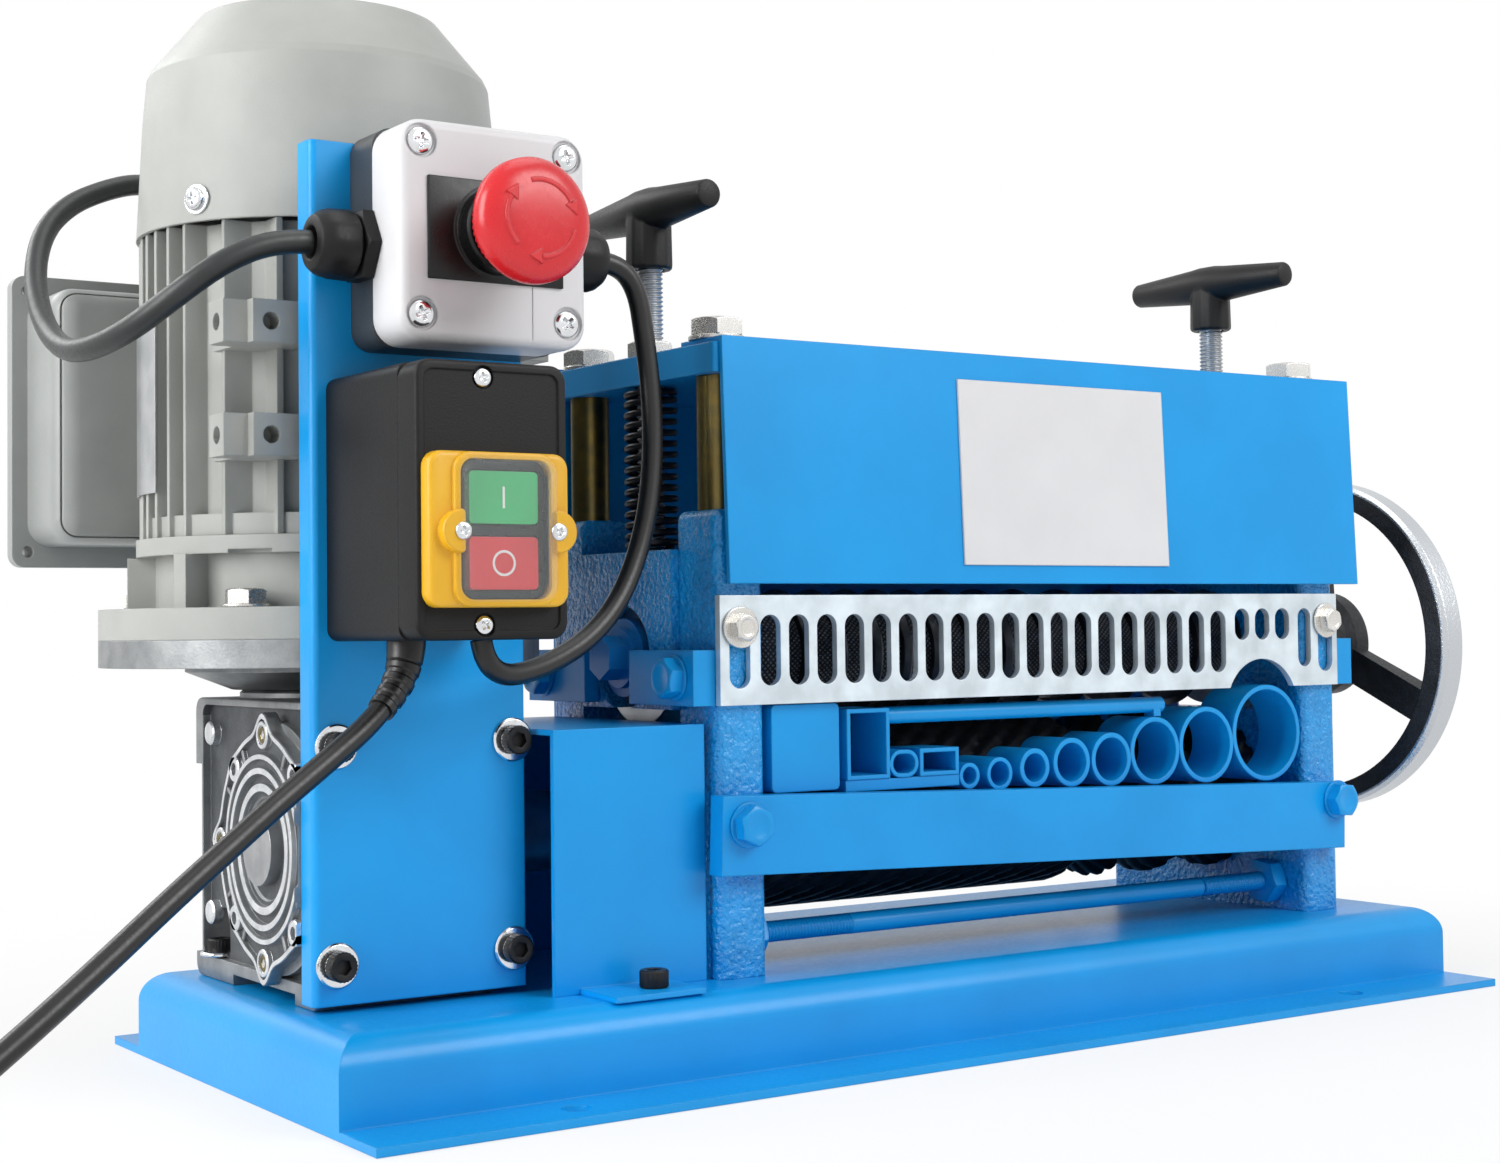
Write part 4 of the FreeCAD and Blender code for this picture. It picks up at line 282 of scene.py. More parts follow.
# Finishes: colour and shade, size of mottle, range of roughness, then size of grain, depth of bump and
# radius of rounded edge shading. Sizes are in millimetres, and what a finish doesn't give is taken from
# usual.
usual = {"metallic": 0.0, "spec": 0.5, "coat": 0.0, "grain": 0.8, "bump": 0.02, "edge": 0.8}
finishes = {
    # gloss enamel over steel sheet: deep even colour with a faint orange peel
    "enamelBlue": {"color": "059AE2", "shade": "0492D8", "mottle": 60, "roughness": (0.3, 0.38),
                   "spec": 0.35, "coat": 0.05, "grain": 1.6},
    # the same enamel, thick over a sand-rough casting
    "enamelOnCasting": {"color": "059AE2", "shade": "048ACF", "mottle": 14, "roughness": (0.22, 0.36),
                        "coat": 0.2, "grain": 2.3, "bump": 1.6, "edge": 1.2},
    # bright nickel on rolled bolts: warm and a little worn
    "nickelPlate": {"color": "DEDCD8", "shade": "CFCCC6", "mottle": 14, "roughness": (0.22, 0.3),
                    "metallic": 0.75, "grain": 0.6, "bump": 0.012, "edge": 0.35},
    # polished chrome: sharp bright reflections
    "chromePlate": {"color": "E6E8EA", "shade": "D6D8DA", "mottle": 5, "roughness": (0.1, 0.18),
                    "metallic": 1.0, "grain": 0.6, "bump": 0.006, "edge": 0.3},
    # rolled aluminium sheet with soft reflections
    "bareAluminium": {"color": "C9CBCC", "shade": "B4B7B9", "mottle": 12, "roughness": (0.3, 0.42),
                      "metallic": 1.0, "grain": 0.6, "bump": 0.01, "edge": 0.2},
    # drawn wire, oiled and dusty
    "springSteel": {"color": "3C3C3E", "shade": "2A2A2C", "mottle": 6, "roughness": (0.34, 0.5),
                    "metallic": 0.9, "grain": 0.6, "bump": 0.01, "edge": 0.2},
    # milled tool steel, dark under its oil
    "oiledSteel": {"color": "2C3036", "shade": "1D2024", "mottle": 8, "roughness": (0.28, 0.45),
                   "metallic": 0.85, "grain": 0.6, "edge": 0.3},
    # glass-filled nylon: dull black with pale grain where light grazes
    "nylonBlack": {"color": "0B0B0C", "shade": "121213", "mottle": 20, "roughness": (0.4, 0.52),
                   "spec": 0.28, "grain": 0.7, "bump": 0.05, "edge": 0.9},
    # painted shade: darker grey for the floors of the castings' sunk faces, where shade falls
    "castShadow": {"color": "5C5F62", "shade": "4B4E51", "mottle": 9, "roughness": (0.5, 0.62),
                   "metallic": 0.6, "grain": 0.9, "bump": 0.08, "edge": 0.5},
    # cast edges rubbed bright
    "castEdge": {"color": "E2E4E6", "shade": "C9CCCF", "mottle": 6, "roughness": (0.25, 0.4),
                 "metallic": 0.9, "grain": 0.6, "edge": 0.3},
    # sand-cast wheel with its rim turned bright
    "wheelIron": {"color": "2B2D31", "shade": "1D1F22", "mottle": 7, "roughness": (0.45, 0.6),
                  "metallic": 0.5, "grain": 1.3, "bump": 0.18, "edge": 0.6,
                  "over": {"color": "C3C7CB", "roughness": 0.3, "metallic": 1.0, "across": (0, 1, 1),
                           "centre": (0, shaftY, bladeZ), "range": (74.0, 74.6)}},
    # ground shaft whose free end was painted with the frame
    "shaftSteel": {"color": "B4B6B8", "shade": "9A9C9F", "mottle": 12, "roughness": (0.28, 0.42),
                   "metallic": 1.0, "grain": 0.5, "edge": 0.4,
                   "over": {"color": "0D7CC4", "roughness": 0.36, "metallic": 0.0, "across": (1, 0, 0),
                            "centre": (-500, 0, 0), "range": (501, 499)}},
    # diamond knurling, drawn at 2.4 mm so that it shows, with painted shade in its grooves
    "knurledSteel": {"color": "9A9DA0", "shade": "6E7174", "mottle": 4, "roughness": (0.3, 0.45),
                     "metallic": 0.6, "grain": 0.6, "bump": 0.03, "edge": 0.3,
                     "knurl": {"centre": (0, shaftY, bladeZ), "radius": 25, "pitch": 2.4, "deep": 0.8,
                               "groove": "101114"}},
    # bright zinc plate: cold metal with a cloudy bloom
    "zincPlate": {"color": "DDE8EE", "shade": "C2CCD2", "mottle": 14, "roughness": (0.32, 0.46),
                  "metallic": 0.55, "bump": 0.015, "edge": 0.4},
    # yellow chromate over zinc: brass-like and patchy
    "yellowChromate": {"color": "7E6C3C", "shade": "675F40", "mottle": 6, "roughness": (0.28, 0.4),
                       "metallic": 1.0, "bump": 0.01, "edge": 0.4},
    # turned steel, even and satin
    "machinedSteel": {"color": "B4B6B8", "shade": "9A9C9F", "mottle": 12, "roughness": (0.28, 0.42),
                      "metallic": 1.0, "grain": 0.5, "edge": 0.4},
    # hardened and oiled, nearly black between its ground edges
    "toolSteel": {"color": "6C6E70", "shade": "4A4C4F", "mottle": 10, "roughness": (0.34, 0.5),
                  "metallic": 1.0, "grain": 0.6, "bump": 0.03, "edge": 0.4},
    # chemically blackened screws with a little sheen
    "blackOxide": {"color": "1B1B1C", "shade": "262627", "mottle": 5, "roughness": (0.38, 0.5),
                   "metallic": 0.6, "grain": 0.5, "bump": 0.015, "edge": 0.3},
    # pressure die-cast aluminium, sand-blasted
    "dieCastAluminium": {"color": "9B9D9E", "shade": "85888A", "mottle": 10, "roughness": (0.42, 0.56),
                         "metallic": 0.85, "grain": 0.9, "bump": 0.06, "edge": 0.6},
    # cast and hobbed tin bronze
    "bronzeCast": {"color": "A9803F", "shade": "8A6631", "mottle": 8, "roughness": (0.35, 0.5),
                   "metallic": 1.0, "bump": 0.03, "edge": 0.4},
    # sprayed machine grey over cast aluminium
    "motorGrey": {"color": "A9ABA7", "shade": "9D9F9B", "mottle": 40, "roughness": (0.42, 0.52),
                  "grain": 0.9, "bump": 0.05},
    # smoother grey on the drawn steel box
    "boxGrey": {"color": "9A9D9B", "shade": "8F9290", "mottle": 40, "roughness": (0.34, 0.42),
                "grain": 1.0, "bump": 0.03},
    # varnished windings: brown with a copper glint
    "copperPack": {"color": "6B4630", "shade": "543524", "mottle": 5, "roughness": (0.5, 0.6),
                   "metallic": 0.5, "grain": 0.6, "bump": 0.05, "edge": 0.4},
    # black ABS with a fine spark-eroded grain
    "blackAbs": {"color": "0B0B0C", "shade": "101011", "mottle": 30, "roughness": (0.44, 0.52),
                 "spec": 0.25, "grain": 0.7, "bump": 0.06},
    # black ABS from a polished mould
    "glossBlack": {"color": "0A0A0B", "shade": "0E0E0F", "mottle": 30, "roughness": (0.26, 0.34),
                   "spec": 0.35, "grain": 2.5},
    # dark grey ABS of the stop box
    "greyAbs": {"color": "313437", "shade": "373A3D", "mottle": 30, "roughness": (0.42, 0.5),
                "bump": 0.03},
    # cool off-white ABS, satin
    "offWhiteAbs": {"color": "D9D9DB", "shade": "D2D2D4", "mottle": 50, "roughness": (0.38, 0.46)},
    # glossy red nylon of the mushroom
    "redGloss": {"color": "D2232A", "shade": "C81E26", "mottle": 30, "roughness": (0.22, 0.3),
                 "grain": 2.0, "bump": 0.01, "edge": 0.6},
    # warm yellow ABS, a little glossy
    "yellowAbs": {"color": "E0AC1E", "shade": "D9A318", "mottle": 30, "roughness": (0.32, 0.4),
                  "edge": 0.6},
    # dyed green key, moulded smooth
    "greenKey": {"color": "2DB46A", "shade": "28AA62", "mottle": 20, "roughness": (0.3, 0.36),
                 "bump": 0.01, "edge": 0.5},
    # dyed red key, moulded smooth
    "redKey": {"color": "D6222E", "shade": "CC1D29", "mottle": 20, "roughness": (0.3, 0.36),
               "bump": 0.01, "edge": 0.5},
    # soft black vinyl sheath, slightly dusty
    "vinylSheath": {"color": "060607", "shade": "0A0A0B", "mottle": 12, "roughness": (0.3, 0.4),
                    "grain": 1.2, "bump": 0.03, "edge": 0.3},
    # older sheath gone grey
    "greySheath": {"color": "1B1E1F", "shade": "222526", "mottle": 12, "roughness": (0.36, 0.48),
                   "grain": 1.2, "bump": 0.03, "edge": 0.3},
    # white printed marks
    "whiteInk": {"color": "E8E8E8", "shade": "E2E2E2", "mottle": 20, "roughness": (0.4, 0.5),
                 "bump": 0.0, "edge": 0.2},
}
surface = {"mottleSpan": (0.35, 0.65), "grainSpan": (0.3, 0.7), "coatRoughness": 0.12, "bevelSamples": 4}


def newMaterial(name, settings):
    material = bpy.data.materials.new(name)
    material.use_nodes = True
    shader = material.node_tree.nodes["Principled BSDF"]
    for key, value in settings.items():
        shader.inputs[key].default_value = value
    return material


def addMask(tree, where, over):
    # 0 to 1 over a range of distances, from a plane across X or from an axis along it
    across = Vector(over["across"])
    shift = addNode(tree, "Mapping", {"Location": -spot(*over["centre"]) * across, "Scale": across}, where)
    reach = addNode(tree, "VectorMath", {"operation": "LENGTH"}, {0: shift.outputs["Vector"]})
    low, high = over["range"]
    return addNode(tree, "MapRange", {"From Min": low / 1000, "From Max": high / 1000},
                   {"Value": reach.outputs["Value"]}).outputs["Result"]


def addKnurl(tree, where, knurl):
    shift = addNode(tree, "Mapping", {"Location": -spot(*knurl["centre"])}, where)
    part = addNode(tree, "SeparateXYZ", links={"Vector": shift.outputs["Vector"]})
    angle = addNode(tree, "Math", {"operation": "ARCTAN2"}, {0: part.outputs["Y"], 1: part.outputs["Z"]})
    around, along = (
        addNode(tree, "Math", {"operation": "MULTIPLY", 1: reach * math.pi / knurl["pitch"]}, {0: source})
        for reach, source in ((knurl["radius"], angle.outputs["Value"]), (1000, part.outputs["X"])))
    waves = []
    for operation in ("ADD", "SUBTRACT"):
        both = addNode(tree, "Math", {"operation": operation},
                       {0: around.outputs["Value"], 1: along.outputs["Value"]})
        wave = addNode(tree, "Math", {"operation": "SINE"}, {0: both.outputs["Value"]})
        waves.append(addNode(tree, "Math", {"operation": "ABSOLUTE"}, {0: wave.outputs["Value"]}))
    return addNode(tree, "Math", {"operation": "MINIMUM"},
                   {0: waves[0].outputs["Value"], 1: waves[1].outputs["Value"]}).outputs["Value"]


def makeFinish(name):
    look = {**usual, **finishes[name]}
    material = newMaterial(name, {"Metallic": look["metallic"], "Specular IOR Level": look["spec"],
                                  "Coat Weight": look["coat"], "Coat Roughness": surface["coatRoughness"]})
    tree = material.node_tree
    shader = tree.nodes["Principled BSDF"]
    where = {"Vector": addNode(tree, "TexCoord").outputs["Object"]}
    mottle, grain = (addNode(tree, "TexNoise", {"Scale": 1000 / look[key], "Detail": detail}, where)
                     for key, detail in (("mottle", 4.0), ("grain", 2.0)))
    low, high = surface["mottleSpan"]
    spread = addNode(tree, "MapRange", {"From Min": low, "From Max": high}, {"Value": mottle.outputs["Fac"]})
    color = addNode(tree, "Mix", {"data_type": "RGBA", "A": hexLinear(look["color"]),
                                  "B": hexLinear(look["shade"])},
                    {"Factor": spread.outputs["Result"]}).outputs["Result"]
    low, high = surface["grainSpan"]
    gloss = addNode(tree, "MapRange", {"From Min": low, "From Max": high, "To Min": look["roughness"][0],
                                       "To Max": look["roughness"][1]},
                    {"Value": grain.outputs["Fac"]}).outputs["Result"]
    soft = addNode(tree, "Bevel", {"samples": surface["bevelSamples"], "Radius": look["edge"] / 1000})
    normal = addNode(tree, "Bump", {"Strength": 1.0, "Distance": look["bump"] / 1000},
                     {"Height": grain.outputs["Fac"], "Normal": soft.outputs["Normal"]}).outputs["Normal"]
    if "over" in look:
        over = look["over"]
        mask = addMask(tree, where, over)
        color = addNode(tree, "Mix", {"data_type": "RGBA", "B": hexLinear(over["color"])},
                        {"Factor": mask, "A": color}).outputs["Result"]
        gloss = addNode(tree, "Mix", {"data_type": "FLOAT", "B": over["roughness"]},
                        {"Factor": mask, "A": gloss}).outputs["Result"]
        metal = addNode(tree, "MapRange", {"To Min": look["metallic"], "To Max": over["metallic"]},
                        {"Value": mask})
        tree.links.new(metal.outputs["Result"], shader.inputs["Metallic"])
    if "knurl" in look:
        knurl = look["knurl"]
        ridges = addKnurl(tree, where, knurl)
        # painted shade: the knurl's grooves are mixed towards a near-black colour
        color = addNode(tree, "Mix", {"data_type": "RGBA", "A": hexLinear(knurl["groove"])},
                        {"Factor": ridges, "B": color}).outputs["Result"]
        normal = addNode(tree, "Bump", {"Strength": 1.0, "Distance": knurl["deep"] / 1000},
                         {"Height": ridges, "Normal": normal}).outputs["Normal"]
    for key, socket in (("Base Color", color), ("Roughness", gloss), ("Normal", normal)):
        tree.links.new(socket, shader.inputs[key])
    return material


paint = {name: makeFinish(name) for name in finishes}
print("finishes made")

# Finish of each CAD node that shows as it is.
nodeFinish = {
    "enamelBlue": ("base_tray", "top_plate", "head_covers", "front_bar", "guide_tubes", "guide_block",
                   "drive_guard", "panel_bracket", "keeper_bars"),
    "enamelOnCasting": ("side_plate_left", "side_plate_right", "bearing_blocks"),
    "zincPlate": ("slot_plate",),
    "yellowChromate": ("spacer_tubes",),
    "machinedSteel": ("lower_bearings", "upper_bearings", "lower_shaft", "lower_gear", "upper_gear", "worm",
                      "motor_rotor"),
    "shaftSteel": ("blade_shaft",),
    "toolSteel": ("blade_discs",),
    "knurledSteel": ("spacer_rings",),
    "wheelIron": ("handwheel",),
    "bronzeCast": ("worm_wheel",),
    "dieCastAluminium": ("motor_adapter",),
    "motorGrey": ("motor_end_bell", "motor_body", "fan_cowl"),
    "boxGrey": ("terminal_box", "terminal_lid"),
    "copperPack": ("stator",),
    "offWhiteAbs": ("label_plate", "run_capacitor"),
    "greyAbs": ("stop_base",),
    "blackAbs": ("stop_plunger", "switch_base"),
    "greenKey": ("green_button",),
    "redKey": ("red_button",),
}
for finish, names in nodeFinish.items():
    for name in names:
        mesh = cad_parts[name].data
        mesh.materials.clear()
        mesh.materials.append(paint[finish])


# Clear flap over the keys: soft vinyl, nearly unseen but for its gloss.
clearVinyl = {"Base Color": hexLinear("C4CACA"), "Roughness": 0.06, "IOR": 1.45, "Alpha": 0.10}
paint["clearVinyl"] = newMaterial("clearVinyl", clearVinyl)


# Cords: one smooth spline each, through the route's points.
routes = {
    "motorLead": {
        "points": [(-151.6, 9.2, 284.5), (-164, 9.2, 284), (-181, 10.5, 276), (-195, 17, 264),
                   (-204, 33, 254.5), (-208.5, 57, 251), (-209, 80, 253), (-208, 102, 261),
                   (-206, 122, 274), (-202, 139, 290), (-195, 151, 306), (-183, 160, 318), (-168, 168, 326),
                   (-152, 176, 332), (-137, 184, 333), (-128.6, 190, 326), (-127, 191.5, 315),
                   (-127, 191.5, 304)],
        "wide": 8.0, "finish": "greySheath", "node": "motor_lead", "length": 0.316},
    "linkLead": {
        "points": [(-41.9, 9.2, 287), (-34, 9.1, 286.5), (-26.5, 9, 278), (-23.5, 9.5, 262), (-21, 9.3, 243),
                   (-20.5, 9, 222), (-23, 8.2, 201), (-29, 7, 182), (-39, 4, 165.5), (-53, 0.5, 153.5),
                   (-68, -3.5, 146.5), (-82, -7.5, 142.5), (-93, -10.5, 142), (-100, -12, 147.5),
                   (-101, -12, 154)],
        "wide": 7.5, "finish": "vinylSheath", "node": "link_lead", "length": 0.212},
}
mainsRoute = {
    "points": [(-128, -12, 154), (-128.5, -12.5, 147), (-133, -14.5, 138.5), (-144, -20, 128.5),
               (-160, -26, 118.5), (-178, -32, 107.5), (-197, -38.5, 95), (-219, -46, 80.5),
               (-241, -53, 65), (-264, -60, 49.5), (-288, -66.5, 34), (-312, -72, 20),
               (-336, -76, 9.5), (-360, -77.5, 4.6), (-384, -77, 3.75)],
    "wide": 7.5, "coilCentre": (-410, -23.5), "coilMean": 43, "coilStep": 8.4, "coilTurns": 2.5,
    "tail": (55, 12), "plugRadius": 17, "perTurn": 16,
}


def splineLine(name, points, smoothness):
    data = bpy.data.curves.new(name, "CURVE")
    data.dimensions = "3D"
    data.resolution_u = smoothness
    line = data.splines.new("NURBS")
    line.points.add(len(points) - 1)
    for knot, place in zip(line.points, points):
        knot.co = (*place, 1)
    line.order_u = 3
    line.use_endpoint_u = True
    return putIn(name, data)


def ropeCurve(name, points, wide, material):
    rope = splineLine(name, [spot(*place) for place in points], 6)
    rope.data.bevel_depth = wide / 2000
    rope.data.bevel_resolution = 6
    rope.data.use_fill_caps = True
    rope.data.materials.append(material)
    return rope


for name, route in routes.items():
    rope = ropeCurve(name, route["points"], route["wide"], paint[route["finish"]])
    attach(rope, "frame")
    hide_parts(route["node"])


def coilPoints():
    # in along the bench, a climb in the half turn where it reverses, and out on top
    wide = mainsRoute["wide"]
    step = mainsRoute["coilStep"]
    turns = mainsRoute["coilTurns"]
    count = mainsRoute["perTurn"]
    middle = mainsRoute["coilCentre"]
    outer = mainsRoute["coilMean"] + step * turns / 2
    lay = int(turns * count)
    climb = count // 2
    points = []
    for index in range(2 * lay + climb + 1):
        angle = -math.pi / 2 - 2 * math.pi * index / count
        if index <= lay:
            ring = outer - step * index / count
            height = wide / 2
        elif index < lay + climb:
            share = (index - lay) / climb
            ring = outer - step * turns - step / 4 * math.sin(math.pi * share)
            height = wide / 2 + step * (3 - 2 * share) * share * share
        else:
            ring = outer - step * turns + step * (index - lay - climb) / count
            height = wide / 2 + step
        ring = ring / math.cos(math.pi / count)
        points.append((middle[0] + ring * math.cos(angle), middle[1] + ring * math.sin(angle), height))
    return points


# Mains plug: moulded two-pin body with finger ribs.
plug = {"ribs": 7, "ribStep": 2.4, "widening": 1.3, "pinOffset": 9.5}


def makePlug():
    low, high = (Vector(corner) * 1000 - headCorner * 1000 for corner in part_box("mains_plug"))
    y, z = (low.y + high.y) / 2, (low.z + high.z) / 2
    start = low.x
    bm = bmesh.new()
    ribs = []
    for step in range(plug["ribs"]):
        wide, along = step * plug["widening"], step * plug["ribStep"]
        ribs += [(6.4 + wide, 2 + along), (7.3 + wide, 2.7 + along), (7.3 + wide, 3.9 + along),
                 (6.7 + wide, 4.3 + along)]
    addTo(bm, ringShape([(4.2, 0), (5.8, 0.4), *ribs, (16, 19.2), (17, 20.2), (17, 33.6), (15.8, 35.6),
                         (4, 35.7)], 56), (start, y, z), (1, 0, 0))
    for side in (-plug["pinOffset"], plug["pinOffset"]):
        addTo(bm, ringShape([(2.4, 35), (2.4, 53.4), (1.6, 54.7)], 24), (start, y + side, z), (1, 0, 0),
              finish=1)
    return newPiece("mainsPlugBody", bm, ["vinylSheath", "nickelPlate"], "frame",
                    ("mains_plug",))


# Tapered sleeve where the mains lead leaves the starter, along the lead's own spline.
sleeve = {"length": 26, "top": 6.4, "end": 4.5, "grooves": 5, "rings": 44}


def splineSpots(points):
    holder = splineLine("line", points, 24)
    data = holder.data
    bpy.context.view_layer.update()
    mesh = bpy.data.meshes.new_from_object(holder)
    spots = [knot.co.copy() for knot in mesh.vertices]
    bpy.data.objects.remove(holder)
    bpy.data.curves.remove(data)
    bpy.data.meshes.remove(mesh)
    return spots


def bentAlong(bm, spots):
    # height becomes the distance walked along the spots
    first = (spots[1] - spots[0]).normalized()
    square = first.to_track_quat("Z", "Y")
    for knot in bm.verts:
        left = max(0, knot.co.z)
        for here, ahead in zip(spots, spots[1:]):
            stretch = (ahead - here).length
            if left <= stretch:
                break
            left -= stretch
        way = (ahead - here).normalized()
        turn = first.rotation_difference(way) @ square
        knot.co = here + way * left + turn @ Vector((knot.co.x, knot.co.y, 0))


def makeSleeve():
    top, end, length = sleeve["top"], sleeve["end"], sleeve["length"]
    rings = [(4.6, 0), (top, 0)]
    for step in range(sleeve["rings"] + 1):
        share = step / sleeve["rings"]
        groove = 0.5 if share > 0.25 and math.sin(share * 2 * math.pi * sleeve["grooves"]) > 0.2 else 0
        rings.append((top + (end - top) * share - groove, 0.5 + length * share))
    rings.append((3.9, 0.5 + length))
    bm = ringShape(rings, 28)
    bentAlong(bm, splineSpots(mainsRoute["points"]))
    outward(bm)
    newPiece("leadSleeve", bm, ["vinylSheath"], "frame")


def makeMains():
    coil = coilPoints()
    x, y, z = coil[-1]
    along, aside = mainsRoute["tail"]
    high = mainsRoute["plugRadius"]
    tail = [(x + along * 0.3, y - 0.3, z + 0.2), (x + along * 0.6, y + aside * 0.7, high - 1.2),
            (x + along * 0.85, y + aside * 0.98, high - 0.1), (x + along + 7.5, y + aside, high)]
    points = mainsRoute["points"] + coil[1:] + tail
    rope = ropeCurve("mainsLead", points, mainsRoute["wide"], paint["vinylSheath"])
    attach(rope, "frame")
    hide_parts("mains_lead", "mains_coil")
    makePlug()


makeMains()
makeSleeve()
print("cords laid")

# Fasteners. A place is where the washer or head sits, and a way is where the head points. A bolt's size is
# its width across flats, its height and its washer's radius. Turns are in radians.
bolts = {
    "sizes": {"keeper": (13, 5.3, 8.3), "top": (18.5, 6.5, 10.4), "clamp": (9, 4.2, 7.5),
              "rodNut": (17, 8, 0), "stemNut": (16, 6.5, 0)},
    "keepers": ((-10.45, -1), (335.45, 1)), "keeperY": (12, 109), "keeperZ": 139,
    "frontBar": (((7.5, -8.15, 86.5), 0.1), ((315, -8.15, 79.5), 0.45)),
    "slotPlate": ((7.5, -3.8, 157), (315, -3.8, 157)),
    "rodNuts": (-8.05, 21.05, 295.95, 325.05),
    "coverTop": 262.55, "topPlate": 260.55, "frontY": 14, "backY": 107, "frontTurns": (0.5, 0.15),
    "flangeRing": 70, "flangeTop": 166.05,
}


def addBolt(bm, place, way, kind, turn):
    across, tall, washer = bolts["sizes"][kind]
    half = across / 2
    low = 0
    if washer:
        low = 1.6 if washer > 9 else 1.02
        addTo(bm, ringShape([(3, 0), (washer - 0.2, 0), (washer, 0.2), (washer, low - 0.25),
                             (washer - 0.25, low), (3, low)]), place, way)
    top = low + tall
    addTo(bm, ringShape([(half * 0.6, top - 0.35), (half * 0.7, top), (half * 0.93, top),
                         (half, top - 0.25, "hex", 0.6), (half, low + 0.1, "hex", 0 if washer else -0.45),
                         (half * 0.93, low)]), place, way, turn=turn)


def makeBolts():
    painted = bmesh.new()
    for x, way in bolts["keepers"]:
        for y in bolts["keeperY"]:
            addBolt(painted, (x, y, bolts["keeperZ"]), (way, 0, 0), "keeper", 0.2 + y / 70)
    for place, turn in bolts["frontBar"]:
        addBolt(painted, place, (0, -1, 0), "keeper", turn)
    for x in bolts["rodNuts"]:
        addBolt(painted, (x, rodY, rodZ), (1, 0, 0), "rodNut", 0.15)
    newPiece("paintedBolts", painted, ["enamelBlue"], "frame", ("bolts_and_nuts",))
    plated = bmesh.new()
    for x, turn in zip(postsX, bolts["frontTurns"]):
        addBolt(plated, (x, bolts["frontY"], bolts["coverTop"]), (0, 0, 1), "top", turn)
        addBolt(plated, (x, bolts["backY"], bolts["topPlate"]), (0, 0, 1), "top", 0.3)
        addBolt(plated, (x, shaftY, bolts["topPlate"]), (0, 0, 1), "stemNut", 0.35)
    for place in bolts["slotPlate"]:
        addBolt(plated, place, (0, -1, 0), "clamp", 0.2)
    for corner in range(4):
        angle = math.radians(45 + 90 * corner)
        x, y = (middle + bolts["flangeRing"] * part
                for middle, part in zip(motorAxis, (math.cos(angle), math.sin(angle))))
        addBolt(plated, (x, y, bolts["flangeTop"]), (0, 0, 1), "keeper", 0.4 * corner)
    newPiece("platedBolts", plated, ["nickelPlate"], "frame")


# Small screws: black socket heads, most on wide bright washers, and bright cross heads.
screws = {
    "bracket": [(x, 21.45, z) for x in (-137.9, -72) for z in (46.8, 119)],
    "guard": (-33, -8, 33.05),
    "foot": (-140, 120.5, 39.5),
    "rearCover": [(x, 123.15, z) for x in postsX for z in (110, 255)],
    "stopLid": [(x, -15.0, z) for x in (-123.5, -69.5) for z in (260, 316.5)],
    "switchLid": [(-117, -45.0, z) for z in (158.7, 236.6)],
    "bezel": [(-129.1, -55.0, 187.8), (-95.5, -55.0, 187.8)],
    "terminalLid": [(x, 212.6, z) for x in (-184.5, -27.5) for z in (189.7, 291.5)],
    "cowlAngles": (27, 117, 207, 297), "cowlRadius": 66, "cowlZ": 308,
    # which way a cross head points along Y, its radius, height, first turn and washer
    "crossHeads": {"stopLid": (-1, 4.6, 1.7, 0.4, 0), "switchLid": (-1, 3.0, 1.2, 0.9, 0),
                   "bezel": (-1, 2.8, 1.3, 0.3, 0), "terminalLid": (1, 3.6, 1.5, 0.5, 4.6)},
}


def addSocket(bm, place, way, radius, tall, washer=0):
    low = 0
    if washer:
        low = 1.5
        addTo(bm, ringShape([(radius * 0.6, 0), (washer - 0.3, 0), (washer, 0.3), (washer, low - 0.5),
                             (washer - 0.6, low), (radius * 0.6, low)]), place, way, 1)
    top = low + tall
    addTo(bm, ringShape([(radius * 0.48, low + tall * 0.45, "hex"), (radius * 0.48, top - 0.2, "hex"),
                         (radius * 0.66, top), (radius - 0.5, top), (radius, top - 0.6, "knurl"),
                         (radius, low + 0.5, "knurl"), (radius - 0.3, low)]), place, way, 0, 0.3)


def addCross(bm, place, way, radius, tall, turn, washer):
    low = 0
    if washer:
        low = 0.9
        addTo(bm, ringShape([(radius * 0.5, 0), (washer, 0), (washer, low - 0.2), (washer - 0.2, low),
                             (radius * 0.5, low)]), place, way, 1)
    top = low + tall
    addTo(bm, ringShape([(radius * 0.3, low + tall * 0.25, "cross"), (radius * 0.58, top, "cross"),
                         (radius * 0.66, top), (radius * 0.86, low + tall * 0.8),
                         (radius, low + tall * 0.35), (radius, low)]), place, way, 1, turn)


def makeScrews():
    bm = bmesh.new()
    for place in screws["bracket"]:
        addSocket(bm, place, (0, -1, 0), 5.0, 4.6, 7.6)
    addSocket(bm, screws["guard"], (0, 0, 1), 5, 6.2)
    addSocket(bm, screws["foot"], (0, 0, 1), 4.5, 4.6, 7.2)
    for place in screws["rearCover"]:
        addSocket(bm, place, (0, 1, 0), 5.5, 4)
    for where, (way, radius, tall, turn, washer) in screws["crossHeads"].items():
        for count, place in enumerate(screws[where]):
            addCross(bm, place, (0, way, 0), radius, tall, turn + count, washer)
    for angle in screws["cowlAngles"]:
        way = Vector((math.cos(math.radians(angle)), math.sin(math.radians(angle)), 0))
        place = Vector((*motorAxis, screws["cowlZ"])) + way * screws["cowlRadius"]
        addCross(bm, place, way, 4.0, 2.0, 0.6, 5.4)
    newPiece("smallScrews", bm, ["blackOxide", "chromePlate"], "frame", ("cap_screws",))


